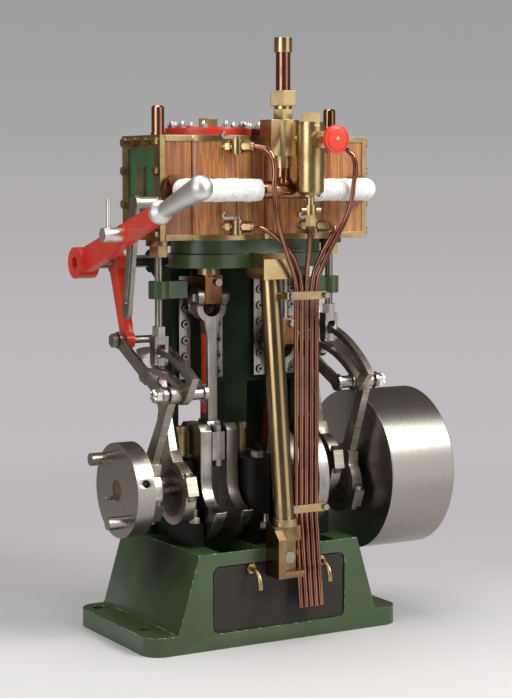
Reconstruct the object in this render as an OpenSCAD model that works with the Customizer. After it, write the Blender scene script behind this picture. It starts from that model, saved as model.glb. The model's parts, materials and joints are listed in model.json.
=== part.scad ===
/* [Bedplate] */
// Length of the holding-down flange along the crankshaft
bed_len = 184.6; // [170:0.2:200]
// Depth of the bedplate from front to rear
bed_depth = 106.8; // [100:0.2:120]
// Distance from the front face of the bedplate to the crank axis
bed_front = 43.4; // [42:0.2:50]
// Thickness of the holding-down flange
flange_t = 12; // [8:0.5:14]
// Corner radius of the flange
flange_r = 12; // [6:0.5:14]
// Height of the bedplate's top face
bed_top = 60.8; // [58:0.2:62]
// Half length of the raised box at the flange
box_half_low = 72.5; // [68:0.5:76]
// Half length of the raised box at its top
box_half_top = 58; // [56:0.5:62]
// Diameter of the holding-down holes
lug_hole_d = 8.4; // [6:0.1:9]
// Distance of the holding-down holes from the bedplate's ends
lug_inset = 10.3; // [9:0.1:12]
// Distance of the front holding-down holes from the front face
lug_inset_y = 27.4; // [20:0.2:32]
// Distance of the rear holding-down holes from the rear face
lug_inset_rear = 12.4; // [10:0.2:30]
// Height of the front sump opening
sump_h = 42.5; // [36:0.5:44]
// Half length of the front sump opening
sump_half = 48.5; // [44:0.5:52]
// Height of the sump opening's lower edge
sump_z = 10; // [8:0.5:14]
// Depth of the sump plate's recess
sump_recess = 2.5; // [1.5:0.5:4]
// Thickness of the sump plate
sump_plate_t = 1.5; // [1:0.25:2]

/* [Crankshaft] */
// Height of the crank axis
crank_z = 98; // [96:0.5:102]
// Diameter of the crankshaft
shaft_d = 16; // [14:0.5:18]
// Diameter of the crankshaft's ends, which pass through the eccentric sheaves
neck_d = 13; // [11:0.5:13.5]
// Crank radius, half the stroke
throw_r = 25; // [22:0.5:26]
// Distance of each cylinder's axis from the middle
cyl_x = 27.5; // [27:0.1:29]
// Turn of the left crank from top centre towards the rear
left_turn = 0; // [0:1:0]
// Turn of the right crank from top centre towards the rear
right_turn = 90; // [90:1:90]
// Diameter of the crank pins
crank_pin_d = 13; // [11:0.5:14]
// Thickness of a crank web
web_t = 8; // [6:0.5:8]
// Half width of a crank web
web_half = 14; // [12:0.5:15]
// Gap between the two webs of a crank
web_gap = 11; // [10:0.5:12]
// Radius of the counterweights
weight_r = 37; // [34:0.5:39]
// Diameter of the coupling disc
disc_d = 60; // [54:0.5:62]
// Thickness of the coupling disc
disc_t = 12; // [9:0.5:13]
// Outer face of the coupling disc from the middle
disc_face = 93; // [90:0.5:96]
// Diameter of the drive pins
drive_pin_d = 8; // [6:0.5:9]
// Length of the drive pins
drive_pin_len = 13; // [10:0.5:18]
// Radius of the drive pins' circle
drive_pin_r = 22; // [20:0.5:23]
// Radius of the flywheel
fly_r = 53; // [48:0.5:56]
// Inner face of the flywheel from the middle
fly_x = 79; // [78:0.5:82]
// Width of the flywheel
fly_w = 49; // [40:0.5:52]
// Radial thickness of the flywheel's rim
fly_rim = 9; // [7:0.5:12]
// Depth of the dish in the flywheel's faces
fly_dish = 5; // [3:0.5:8]

/* [Running gear] */
// Length of a connecting rod between its pins
rod_len = 94; // [92:0.5:98]
// Diameter of a crosshead pin
wrist_d = 6; // [5:0.5:7]
// Outer width of the connecting rod's fork
fork_w = 21; // [20:0.5:22]
// Width of the crosshead block
cross_w = 12; // [10:0.5:13]
// Height of the crosshead block
cross_h = 17; // [15:0.5:18]
// Diameter of a piston rod
piston_rod_d = 8; // [6:0.5:9]
// How far the guide bars reach below the lowest crosshead pin
guide_drop = 7; // [4:0.5:10]
// Width of a guide keeper strip
strip_w = 8; // [6:0.5:8]
// Distance of a keeper strip's middle from the cylinder axis
strip_x = 11.8; // [11.5:0.1:13]
// Thickness of a keeper strip
strip_t = 3; // [2:0.5:3.5]
// Pitch of the keeper screws
strip_pitch = 10.4; // [8:0.1:12]
// Front of the guide plate behind the crank axis
guide_y = 13; // [12:0.5:14]

/* [Standards] */
// Gap between a raised crosshead and the entablature
head_gap = 2; // [1:0.5:5]
// Width of a rear standard
stand_w = 5.2; // [4:0.1:5.4]
// Width of the middle standard
mid_stand_w = 17; // [12:0.5:20]
// Distance of the outer standards from the middle
stand_x = 44.6; // [44.5:0.05:44.8]
// Width of a main bearing
bearing_w = 9; // [7:0.5:9]
// Distance of the outer bearings from the middle
bearing_x = 46.6; // [46.3:0.1:46.7]
// Thickness of the guide plate
plate_t = 6; // [4:0.5:8]
// Depth of a standard at its top
stand_deep = 13; // [10:0.5:15]
// Depth of a standard's foot
foot_deep = 40; // [30:0.5:44]
// Height of a standard's foot flange
foot_h = 6; // [4:0.5:8]

/* [Cylinders] */
// Height of the entablature
ent_h = 18; // [15:0.5:20]
// Height of the cylinder block with its lagging
block_h = 64.5; // [62:0.5:68]
// Outer radius of a lagged cylinder
drum_r = 36.5; // [36:0.1:38]
// Distance of the valve chests' end faces from the middle
chest_x = 71.5; // [70:0.5:73]
// Half depth of the valve chests
chest_half = 26; // [25.5:0.5:28]
// Thickness of the lagging planks
plank_t = 3; // [2:0.25:3.5]
// Width of a lagging plank
plank_w = 8.2; // [6:0.1:17]
// Height of the brass bands
band_h = 3.75; // [2.5:0.25:4.5]
// How far the brass bands stand out from the lagging
band_t = 0.6; // [0.4:0.1:1]
// Diameter of a cylinder cover
cover_d = 54.6; // [50:0.1:54.8]
// Thickness of a cylinder cover
cover_t = 5.5; // [4:0.5:7]
// Bolts in a cylinder cover
cover_bolts = 10; // [6:1:12]
// Thickness of a chest cover
chest_cover_t = 3.5; // [3:0.5:4.5]
// Radius of the entablature's rounded ends
ent_r = 24; // [23.5:0.5:25]

/* [Valve gear] */
// Distance of the valve gear plane from the middle
gear_x = 63; // [62.5:0.1:63.5]
// Throw of the eccentrics
ecc_throw = 8; // [6:0.25:8]
// Turn of an eccentric from its crank
ecc_turn = 115; // [110:1:120]
// Diameter of an eccentric sheave
sheave_d = 30; // [28:0.5:31]
// Outer diameter of an eccentric strap
strap_d = 40; // [38:0.5:41]
// Width of an eccentric strap
strap_w = 7.2; // [6:0.2:7.6]
// Distance of the eccentric planes from the gear plane
ecc_x = 7; // [6.8:0.1:7.2]
// Length of an eccentric rod between its centres
ecc_rod_len = 76.3; // [75:0.1:78]
// Distance between the two pins of an expansion link
link_chord = 48; // [46:0.5:50]
// Radial distance of the link's slot outside its pins
slot_off = 9; // [8.5:0.1:10]
// Width of the link's slot
slot_w = 9.6; // [9:0.1:10]
// Width of a bar of the link along its slot
link_bar = 4; // [3:0.25:4.5]
// Thickness of an expansion link
link_t = 4.6; // [4:0.1:5]
// Diameter of the link gear's pins
gear_pin_d = 5; // [4:0.25:5.5]
// Length of a drag link between its centres
drag_len = 67; // [66:0.1:68]
// Thickness of a drag link
drag_t = 2.5; // [2:0.25:3]
// Width of a drag link
drag_w = 8; // [7:0.5:9]
// Diameter of a valve rod
valve_rod_d = 5; // [4:0.25:6]

/* [Reversing gear] */
// Weigh shaft axis behind the crank axis
weigh_y = 44; // [42:0.5:45]
// Weigh shaft axis above the entablature's underside
weigh_up = 2.5; // [1:0.5:4]
// Diameter of the weigh shaft
weigh_d = 8; // [7:0.5:9]
// Length of a drop arm
drop_len = 51.7; // [51:0.1:53]
// Lean of the drop arms towards the front
drop_lean = 18; // [16:0.5:20]
// Plane of the hand lever from the middle
lever_x = 94; // [92:0.5:96]
// Length of the lever's arm from the shaft to the collar
lever_len = 110; // [100:0.5:115]
// Rise of the lever's arm
lever_rise = 17.5; // [15:0.5:20]
// Length of the polished handle
handle_len = 61; // [56:0.5:70]
// Diameter of the handle beside its collar
handle_d = 9; // [7:0.5:10]
// Diameter of the handle's domed end
dome_d = 14.5; // [12:0.5:16]
// Rise of the handle
handle_rise = 16.5; // [8:0.5:18]
// Distance of the clamp from the weigh shaft along the arm
clamp_at = 64.7; // [58:0.1:70]
// Diameter of the clamp
clamp_d = 9; // [8:0.5:10]
// Length of the clamp's tommy bar
tommy_len = 22; // [16:0.5:26]

/* [Steam fittings] */
// Plane of the steam line in front of the crank axis
steam_y = 46; // [46:0.5:48]
// Height of the horizontal steam pipe above the cylinder block's underside
steam_up = 31; // [29:0.5:33]
// Height of the steam inlet above the horizontal pipe
inlet_up = 93; // [85:1:100]
// Diameter of the copper steam pipe
steam_d = 9; // [8:0.5:10]
// Diameter of the lagged steam pipe
lagged_d = 13.5; // [12:0.5:14]
// Distance of the steam elbows from the middle
elbow_x = 65; // [62:0.5:65]
// Radius of the steam elbows
elbow_r = 10; // [8.5:0.5:11]
// Diameter of the lubricator's cup
lub_d = 17; // [14:0.5:18]
// Distance of the lubricator from the middle
lub_x = 11; // [11:0.25:13]
// Plane of the lubricator in front of the crank axis
lub_y = 60.5; // [60.5:0.1:64]
// Diameter of the red feed wheel
wheel_d = 17; // [14:0.5:20]
// Thickness of the red feed wheel
wheel_t = 3.5; // [2:0.25:4]
// Diameter of a drain pipe
drain_d = 3.2; // [2.4:0.1:3.4]
// Pitch of the drain pipes
drain_pitch = 3.75; // [3.6:0.05:4.2]
// Height of the upper drain cocks above the cylinder block's underside
cock_high_up = 57.5; // [56:0.5:58.5]
// Height of the lower drain cocks above the cylinder block's underside
cock_low_up = 8.5; // [8.5:0.5:12]

/* [Drain cocks] */
// Distance of a cock's root from its cylinder's axis, towards the left
cock_off = 8; // [4:0.5:12]
// Turn of the cocks from straight ahead towards the right
cock_turn = 45; // [30:1:55]
// Length of a cock from the lagging to its union nut
cock_len = 19; // [16:0.5:20]
// Distance of a cock's plug from the lagging
plug_at = 8; // [7:0.5:9]
// Diameter of a cock's plug
plug_d = 3.4; // [2.6:0.2:4]
// Length of a cock's lever
cock_lever_len = 9; // [7:0.5:10]

/* [Front column] */
// Diameter of the front column
column_d = 13; // [10:0.5:14]
// Column axis in front of the crank axis at its foot
column_y = 49; // [48.5:0.25:50]
// Column axis in front of the crank axis at its top
column_top_y = 30; // [29:0.25:31]
// Height of the column's foot
column_z = 72; // [70:0.5:76]

/* [Fits] */
// Radial clearance of a running fit
run = 0.05; // [0.02:0.01:0.08]
// Side clearance between neighbouring working parts
side = 0.4; // [0.3:0.05:0.5]

/* [Hidden] */

top_z = crank_z + throw_r + rod_len + cross_h + head_gap;
guide_low = crank_z - throw_r + rod_len - guide_drop;
block_z = top_z + ent_h;
weigh_z = top_z + weigh_up;
steam_z = block_z + steam_up;
inlet_top = steam_z + inlet_up;
cock_high = block_z + cock_high_up;
cock_low = block_z + cock_low_up;

// Points are [y, z] pairs in the planes across the crankshaft.
function unit(a, b) = (b - a) / norm(b - a);
// Where circles about a and b with radii ra and rb cross, on side s of the line from a to b.
function meet(a, ra, b, rb, s) =
    let (d = norm(b - a), u = unit(a, b), q = (ra * ra - rb * rb + d * d) / (2 * d))
    a + q * u + s * sqrt(ra * ra - q * q) * [-u[1], u[0]];
function heading(a, b) = atan2(b[1] - a[1], b[0] - a[0]);
function sheave_at(turn, s) =
    [ecc_throw * sin(turn + s * ecc_turn), crank_z + ecc_throw * cos(turn + s * ecc_turn)];

weigh = [weigh_y, weigh_z];
arm_pin = weigh - drop_len * [sin(drop_lean), cos(drop_lean)];
sides = [[-1, left_turn], [1, right_turn]];
function front_sheave(turn) = sheave_at(turn, 1);
function rear_sheave(turn) = sheave_at(turn, -1);
function front_pin(turn) = meet(front_sheave(turn), ecc_rod_len, arm_pin, drag_len, 1);
function rear_pin(turn) = meet(rear_sheave(turn), ecc_rod_len, front_pin(turn), link_chord, -1);
function link_centre(turn) = meet(front_pin(turn), ecc_rod_len, rear_pin(turn), ecc_rod_len, -1);
slot_r = ecc_rod_len + slot_off;
function die_z(turn) =
    let (c = link_centre(turn)) c[1] + sqrt(slot_r * slot_r - c[0] * c[0]);
function crank_pin(turn) = [throw_r * sin(turn), crank_z + throw_r * cos(turn)];
function wrist_z(turn) =
    let (p = crank_pin(turn)) p[1] + sqrt(rod_len * rod_len - p[0] * p[0]);

block_top = block_z + block_h;
cover_top = block_top + cover_t;
bed_rear = bed_depth - bed_front;
web_in = web_gap / 2;
web_out = web_in + web_t;
lever_end = weigh + lever_len * [-cos(lever_rise), sin(lever_rise)];
ball_at = lever_end + handle_len * [-cos(handle_rise), sin(handle_rise)];
clamp_pos = weigh + clamp_at * [-cos(lever_rise), sin(lever_rise)];
bar_top = [-21, block_z + 23];
bar_x = 88;
front_rod_x = gear_x + ecc_x + 1;
rear_rod_x = gear_x - ecc_x - 1;
rod_t = 5;
prong_t = 2;
drag_out_x = front_rod_x + rod_t / 2 + 2.6;
drag_in_x = stand_x + stand_w / 2 + side;
steam_line_y = -steam_y;
tee_top = steam_z + 13.4;
valve_low = steam_z + 20.8;
valve_high = steam_z + 42.9;
union_low = valve_high + 8.6;
union_top = union_low + 9.1;
valve_w = 18.6;
gland_y = 78;
drain_x = 10.5;
drain_y = -45;

neck_x = bearing_x + bearing_w / 2 + 0.15;
pit_in = cyl_x - web_out - 1.5;
pit_out = cyl_x + web_out + 1.5;
pit_half = weight_r + 5;
pit_z = crank_z - throw_r - 20 - 5;
stub_at = [-21.5, 29.5];
stub_z = 49;
stub_bend = 9;
bearing_top = crank_z + 16;
mid_r = 11;
rear_plate_y = throw_r + 18;
big_w = web_gap - 2;
shank_w = 6.5;
fork_r = 7;
groove = 0.7;
frame_w = 8.5;
valve_guide_z = [top_z - 19, top_z - 8];
die_h = 5;
link_in = slot_r - slot_w / 2 - link_bar;
link_out = slot_r + slot_w / 2 + link_bar;
drop_w = 6;
lever_w = 6;
boss_d = 20;
clamp_out = 16;
bar_t = 3;
clamp_in = lever_x - bar_x - bar_t - side;
bar_w = 9;
bar_len = 67.6;
bar_lean = 10;
wheel_z = valve_low + 9.7;
wheel_y = lub_y + 27;
lean_z = 80;
lean_y = 6.5;
pipe_end = 22;
clip_high = top_z - 17;
clip_low = 84;

module box(x0, x1, y0, y1, z0, z1) {
    translate([x0, y0, z0]) cube([x1 - x0, y1 - y0, z1 - z0]);
}
module xcyl(x0, x1, d, p, fn = 48) {
    translate([x0, p[0], p[1]]) rotate([0, 90, 0]) cylinder(d = d, h = x1 - x0, $fn = fn);
}
module ycyl(y0, y1, d, x, z, fn = 48) {
    translate([x, y0, z]) rotate([-90, 0, 0]) cylinder(d = d, h = y1 - y0, $fn = fn);
}
module zcyl(z0, z1, d, x, y, fn = 48) {
    translate([x, y, z0]) cylinder(d = d, h = z1 - z0, $fn = fn);
}
// A hexagon nut or bolt head standing on a face, along one axis.
module hex_x(x0, x1, w, p) xcyl(x0, x1, w / cos(30), p, 6);
module hex_y(y0, y1, w, x, z) ycyl(y0, y1, w / cos(30), x, z, 6);
module hex_z(z0, z1, w, x, y) zcyl(z0, z1, w / cos(30), x, y, 6);
// Draws a [y, z] outline and gives it thickness along X.
module plate(x0, x1) {
    translate([x0, 0, 0]) rotate([90, 0, 90]) linear_extrude(x1 - x0) children();
}
// A straight bar outline between two points, wa wide at a and wb wide at b.
module bar(a, b, wa, wb) {
    translate(a) rotate(heading(a, b))
        polygon([[0, -wa / 2], [norm(b - a), -wb / 2], [norm(b - a), wb / 2], [0, wa / 2]]);
}
module eye(p, d) translate(p) circle(d = d, $fn = 48);
module rounded(x0, x1, y0, y1, r) {
    translate([x0 + r, y0]) square([x1 - x0 - 2 * r, y1 - y0]);
    translate([x0, y0 + r]) square([x1 - x0, y1 - y0 - 2 * r]);
    for (x = [x0 + r, x1 - r], y = [y0 + r, y1 - r]) translate([x, y]) circle(r = r, $fn = 48);
}
// A straight round rod between two points in space.
module rod(a, b, d, fn = 32) {
    v = b - a;
    translate(a) rotate([0, acos(v[2] / norm(v)), atan2(v[1], v[0])])
        cylinder(d = d, h = norm(v), $fn = fn);
}

module bedplate() {
    color("#4A6B4C") difference() {
        union() {
            linear_extrude(flange_t)
                rounded(-bed_len / 2, bed_len / 2, -bed_front, bed_rear, flange_r);
            translate([0, bed_rear, 0]) rotate([90, 0, 0]) linear_extrude(bed_depth)
                polygon([[-box_half_low, flange_t - 1], [box_half_low, flange_t - 1],
                    [box_half_low, flange_t], [box_half_top, bed_top],
                    [-box_half_top, bed_top], [-box_half_low, flange_t]]);
        }
        for (s = [-1, 1], y = [lug_inset_y - bed_front, bed_rear - lug_inset_rear])
            zcyl(-1, flange_t + 1, lug_hole_d, s * (bed_len / 2 - lug_inset), y);
        translate([0, sump_recess - bed_front, 0]) rotate([90, 0, 0])
            linear_extrude(sump_recess + 1)
            rounded(-sump_half, sump_half, sump_z, sump_z + sump_h, 5);
        for (s = [-1, 1])
            box(min(s * pit_in, s * pit_out), max(s * pit_in, s * pit_out),
                -pit_half, pit_half, pit_z, bed_top + 1);
    }
}

module sump_plate() {
    color("#3A3432") translate([0, sump_recess - bed_front, 0]) rotate([90, 0, 0])
        linear_extrude(sump_plate_t)
        rounded(-sump_half + 1, sump_half - 1, sump_z + 1, sump_z + sump_h - 1, 4);
}

module drain_stubs() {
    y0 = sump_recess - sump_plate_t - bed_front;
    color("#B09A5C") for (x = stub_at) {
        hex_y(y0 - 2.5, y0, 6, x, stub_z);
        ycyl(y0 - 4, y0 - 2, 3.2, x, stub_z);
        translate([x, y0 - 4, stub_z - stub_bend]) rotate([90, 0, -90])
            rotate_extrude(angle = 90, $fn = 48) translate([stub_bend, 0]) circle(d = 3.2, $fn = 24);
        zcyl(stub_z - stub_bend - 2.5, stub_z - stub_bend, 3.2, x, y0 - 4 - stub_bend);
    }
}

// One crank web with its flared counterweight, pin upwards, as a [y, z] outline.
flare = 18;
function flare_side(s) = [for (t = [0 : 15 : 90])
    [s * (web_half + flare - flare * cos(t)), 4 - flare * sin(t)]];
module web_outline() {
    polygon(concat([[4 - web_half, throw_r + 14], [-web_half, throw_r + 10]], flare_side(-1),
        [for (i = [6 : -1 : 0]) flare_side(1)[i]],
        [[web_half, throw_r + 10], [web_half - 4, throw_r + 14]]));
    difference() {
        circle(r = weight_r, $fn = 96);
        translate([-weight_r - 1, 4.1 - flare]) square([2 * weight_r + 2, 2 * weight_r]);
    }
}
module crankshaft() {
    color("#9A9A9A") {
        xcyl(web_in - cyl_x, cyl_x - web_in, shaft_d, [0, crank_z], 64);
        xcyl(-neck_x, -cyl_x - web_in, shaft_d, [0, crank_z], 64);
        xcyl(cyl_x + web_in, neck_x, shaft_d, [0, crank_z], 64);
        xcyl(0.5 - disc_face, 0.1 - neck_x, neck_d, [0, crank_z], 64);
        xcyl(neck_x - 0.1, fly_x + fly_w + 3, neck_d, [0, crank_z], 64);
        for (q = sides) translate([q[0] * cyl_x, 0, crank_z]) rotate([-q[1], 0, 0]) {
            for (s = [-1, 1]) plate(s > 0 ? web_in : -web_out, s > 0 ? web_out : -web_in)
                web_outline();
            xcyl(-web_in - 1, web_in + 1, crank_pin_d, [0, throw_r]);
        }
    }
}

module coupling_disc() {
    color("#9A9A9A") difference() {
        union() {
            xcyl(-disc_face, disc_t - disc_face, disc_d, [0, crank_z], 96);
            for (t = [30, 216]) xcyl(-disc_face - drive_pin_len, 1 - disc_face, drive_pin_d,
                [drive_pin_r * sin(t), crank_z + drive_pin_r * cos(t)]);
        }
        xcyl(-disc_face - 1, disc_t - disc_face + 1, neck_d, [0, crank_z], 64);
        translate([disc_t / 2 - disc_face, 0, crank_z]) rotate([75, 0, 0])
            translate([0, 0, disc_d / 2 - 9]) cylinder(d = 5, h = 10, $fn = 32);
    }
}

module flywheel() {
    color("#9A9A9A") difference() {
        xcyl(fly_x, fly_x + fly_w, 2 * fly_r, [0, crank_z], 128);
        xcyl(fly_x - 1, fly_x + fly_w + 1, neck_d, [0, crank_z], 64);
        difference() {
            xcyl(fly_x + fly_w - fly_dish, fly_x + fly_w + 1, 2 * (fly_r - fly_rim),
                [0, crank_z], 128);
            xcyl(fly_x, fly_x + fly_w + 2, shaft_d + 16, [0, crank_z], 64);
        }
    }
}

module bearing_left() bearing(-1);
module bearing_right() bearing(1);
module bearing(s) {
    color("#3A3432") difference() {
        union() {
            plate(s * bearing_x - bearing_w / 2, s * bearing_x + bearing_w / 2) {
                translate([-12, bed_top]) square([24, crank_z - bed_top]);
                translate([0, crank_z]) circle(d = 24, $fn = 64);
                translate([-7, crank_z]) square([14, bearing_top - crank_z]);
            }
            box(s * bearing_x - bearing_w / 2, s * bearing_x + bearing_w / 2, -20, 12, bed_top,
                bed_top + 15);
        }
        xcyl(s * bearing_x - 10, s * bearing_x + 10, shaft_d + 2 * run, [0, crank_z], 64);
    }
    color("#9A9A9A") {
        zcyl(bed_top + 15, bed_top + 24, 4, s * bearing_x, -16);
        hex_z(bed_top + 15, bed_top + 18.5, 7, s * bearing_x, -16);
    }
}
module bearing_middle() {
    color("#3A3432") difference() {
        union() {
            zcyl(bed_top, bearing_top, 2 * mid_r, 0, -10, 64);
            box(-mid_r, mid_r, -10, mid_r, bed_top, bearing_top);
            box(-mid_r, mid_r, -30, -10, bed_top, bed_top + 9);
        }
        xcyl(-20, 20, shaft_d + 2 * run, [0, crank_z], 64);
    }
    color("#9A9A9A") {
        hex_z(bearing_top, bearing_top + 4, 8, 0, -14);
        zcyl(bed_top + 9, bed_top + 18, 4, 0, -25);
        hex_z(bed_top + 9, bed_top + 13, 7, 0, -25);
    }
}
module oil_cup(x, y, d) {
    zcyl(bearing_top, bearing_top + 3, 5, x, y);
    zcyl(bearing_top + 2, bearing_top + 17, d, x, y);
    zcyl(bearing_top + 16.9, bearing_top + 21, d + 0.8, x, y);
}
module oil_cups() {
    color("#B09A5C") {
        for (s = [-1, 1]) oil_cup(s * bearing_x, 3, 8.2);
        oil_cup(-2.5, 3, 8.2);
    }
}

module eccentric_sheaves() {
    color("#9A9A9A") difference() {
        for (q = sides, k = [-1, 1]) {
            c = sheave_at(q[1], k);
            x = k > 0 ? front_rod_x : rear_rod_x;
            xcyl(q[0] * x - strap_w / 2, q[0] * x + strap_w / 2, sheave_d, c, 96);
        }
        xcyl(-disc_face, fly_x, neck_d, [0, crank_z], 64);
    }
}

// The fork seen from the front: round below, its arms straight up to the pin.
slot_half = cross_w / 2 + side;
fork_z = rod_len - 6;
module fork_outline() {
    translate([0, fork_z]) circle(d = fork_w, $fn = 64);
    translate([-fork_w / 2, fork_z]) square([fork_w, 6]);
    polygon([[-shank_w / 2, fork_z - 20], [shank_w / 2, fork_z - 20], [5.2, fork_z - 9],
        [-5.2, fork_z - 9]]);
}
// Connecting rod along +Z with its crank pin at the origin.
module conrod() {
    color("#8E8E90") difference() {
        union() {
            plate(-big_w / 2, big_w / 2) {
                translate([-13, -9]) square([26, 18]);
                circle(d = crank_pin_d + 10, $fn = 64);
                polygon([[-8, 8.5], [8, 8.5], [6, 15], [-6, 15]]);
            }
            plate(-shank_w / 2, shank_w / 2)
                bar([0, 10], [0, rod_len - 12], 11, 9);
            rotate([90, 0, 0]) translate([0, 0, -4.5]) linear_extrude(9) fork_outline();
            plate(-fork_w / 2, fork_w / 2) eye([0, rod_len], 2 * fork_r);
        }
        box(-slot_half, slot_half, -20, 20, fork_z, rod_len + 20);
        ycyl(-20, 20, 2 * slot_half, 0, fork_z);
        xcyl(-20, 20, crank_pin_d + 2 * run, [0, 0]);
        xcyl(-20, 20, wrist_d, [0, rod_len]);
    }
    color("#D8402F") for (s = [-1, 1])
        box(s > 0 ? shank_w / 2 - 0.1 : -shank_w / 2 - 0.5, s > 0 ? shank_w / 2 + 0.5 : 0.1 - shank_w / 2,
            -2.8, 2.8, 20, rod_len - 22);
    color("#8E8E90") for (s = [-1, 1]) {
        hex_z(9, 13, 5.5, 0, s * 10.3);
        zcyl(12, 15, 3, 0, s * 10.3);
        hex_z(-13, -9, 5.5, 0, s * 10.3);
    }
    color("#9A9A9A") for (s = [-1, 1])
        hex_x(s > 0 ? fork_w / 2 : -fork_w / 2 - 3, s > 0 ? fork_w / 2 + 3 : -fork_w / 2, 8,
            [0, rod_len]);
}
module placed_rod(q) {
    p = crank_pin(q[1]);
    translate([q[0] * cyl_x, p[0], p[1]]) rotate([asin(p[0] / rod_len), 0, 0]) conrod();
}
module conrod_left() placed_rod(sides[0]);
module conrod_right() placed_rod(sides[1]);

// Crosshead with its slipper, wrist pin and piston rod.
module crosshead(q) {
    z = wrist_z(q[1]);
    x = q[0] * cyl_x;
    color("#8F5F45") difference() {
        union() {
            box(x - cross_w / 2, x + cross_w / 2, -7, 7, z - 4, z - 4 + cross_h);
            box(x - cross_w / 2, x + cross_w / 2, 6.9, guide_y - run, z - 7, z - 4 + cross_h);
            box(x - strip_x + strip_w / 2 + side, x + strip_x - strip_w / 2 - side,
                guide_y - strip_t, guide_y - run, z - 12, z + cross_h);
        }
        xcyl(x - 20, x + 20, wrist_d, [0, z]);
    }
    color("#9A9A9A") {
        xcyl(x - fork_w / 2, x + fork_w / 2, wrist_d, [0, z]);
        zcyl(z - 4 + cross_h, block_z, piston_rod_d, x, 0);
        hex_y(-9.5, -7, 4.5, x + 2.5, z + cross_h - 7.5);
    }
}
module crosshead_left() crosshead(sides[0]);
module crosshead_right() crosshead(sides[1]);

module guide_strips() {
    for (q = [-1, 1], s = [-1, 1]) {
        x = q * cyl_x + s * strip_x;
        color("#A5A5A5") box(x - strip_w / 2, x + strip_w / 2, guide_y - strip_t, guide_y,
            guide_low + 4, top_z - 6);
        for (z = [guide_low + 8 : strip_pitch : top_z - 9])
            color("#9A9A9A") ycyl(guide_y - strip_t - 1.6, guide_y - strip_t, 4.2, x, z, 24);
    }
}

// One rear standard as a [y, z] outline.
module stand_outline() {
    polygon([[guide_y, top_z], [guide_y, 175], [guide_y + 3, bed_top + foot_h],
        [guide_y + 3, bed_top], [guide_y + 3 + foot_deep, bed_top],
        [guide_y + 3 + foot_deep, bed_top + foot_h], [guide_y + 36, bed_top + 20],
        [guide_y + stand_deep, 165], [guide_y + stand_deep, top_z]]);
}
function half(i) = i == 0 ? mid_stand_w / 2 : stand_w / 2;
module standards() {
    color("#3F5F44") {
        for (i = [-1 : 1]) plate(i * stand_x - half(i), i * stand_x + half(i)) difference() {
            stand_outline();
            polygon([[guide_y + 9, bed_top + 14], [guide_y + 22, bed_top + 16],
                [guide_y + 9, 140]]);
        }
        box(-stand_x, stand_x, guide_y, guide_y + plate_t, guide_low, top_z);
        box(0, stand_x, rear_plate_y, rear_plate_y + 3, bed_top, guide_low);
        for (x = [-cyl_x, cyl_x])
            box(x - 2, x + 2, guide_y + plate_t - 0.1, guide_y + stand_deep - 2, guide_low, top_z);
        for (x = [-stand_x, 0, stand_x])
            box(x - 8, x + 8, guide_y + 20, guide_y + foot_deep + 3, bed_top, bed_top + foot_h);
        for (s = [-1, 1]) difference() {
            plate(s * stand_x - stand_w / 2, s * stand_x + stand_w / 2) {
                bar([guide_y + 6, weigh_z - 16], weigh, 10, 10);
                eye(weigh, 15);
            }
            xcyl(s * stand_x - 9, s * stand_x + 9, weigh_d + 2 * run, weigh);
        }
    }
    color("#9A9A9A") for (x = [-stand_x, 0, stand_x], s = [-1, 1])
        hex_z(bed_top + foot_h, bed_top + foot_h + 3.5, 5.5, x + s * 5,
            guide_y + foot_deep - 3 + 0 * s);
}

// Outline shared by the two entablature plates: a rounded oblong round both cylinders.
module oblong(r) {
    for (s = [-1, 1]) translate([s * cyl_x, 0]) circle(r = r, $fn = 96);
    translate([-cyl_x, -r]) square([2 * cyl_x, 2 * r]);
}
module entablature() {
    color("#4A6B4C") difference() {
        union() {
            translate([0, 0, top_z]) linear_extrude(9) oblong(ent_r + 1.5);
            translate([0, 0, top_z + 8.9]) linear_extrude(block_z - top_z - 8.9) oblong(ent_r);
        }
        for (s = [-1, 1]) zcyl(top_z - 1, block_z + 1, piston_rod_d + 2 * run, s * cyl_x, 0);
    }
    color("#B09A5C") for (s = [-1, 1]) difference() {
        zcyl(top_z - 5, top_z, piston_rod_d + 8, s * cyl_x, 0);
        zcyl(top_z - 6, top_z + 1, piston_rod_d + 2 * run, s * cyl_x, 0);
    }
}

// Outline of the cylinder block seen from above, drawn in by t all round.
module block_outline(t) {
    for (s = [-1, 1]) translate([s * cyl_x, 0]) circle(r = drum_r - t, $fn = 128);
    translate([-chest_x, t - chest_half]) square([2 * chest_x, 2 * (chest_half - t)]);
}
module cylinder_block() {
    color("#55524E") translate([0, 0, block_z]) linear_extrude(block_h) block_outline(plank_t);
}
module lagging() {
    color("#A0673F") difference() {
        translate([0, 0, block_z + band_h]) linear_extrude(block_h - 2 * band_h) difference() {
            block_outline(0);
            block_outline(plank_t);
        }
        step = plank_w / drum_r * 180 / PI;
        for (s = [-1, 1], k = [-1, 1], i = [-5 : 5]) {
            t = k * 90 + i * step * 2;
            translate([s * cyl_x, 0, block_z]) rotate([0, 0, t])
                translate([drum_r - groove, -groove / 2, 0]) cube([3, groove, block_h]);
        }
    }
}
module brass_bands() {
    color("#B09A5C") {
        for (z = [block_z, block_top - band_h]) translate([0, 0, z]) linear_extrude(band_h)
            difference() {
                intersection() {
                    block_outline(-band_t);
                    square([2 * chest_x, 4 * drum_r], center = true);
                }
                block_outline(plank_t);
            }
    }
}

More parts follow.
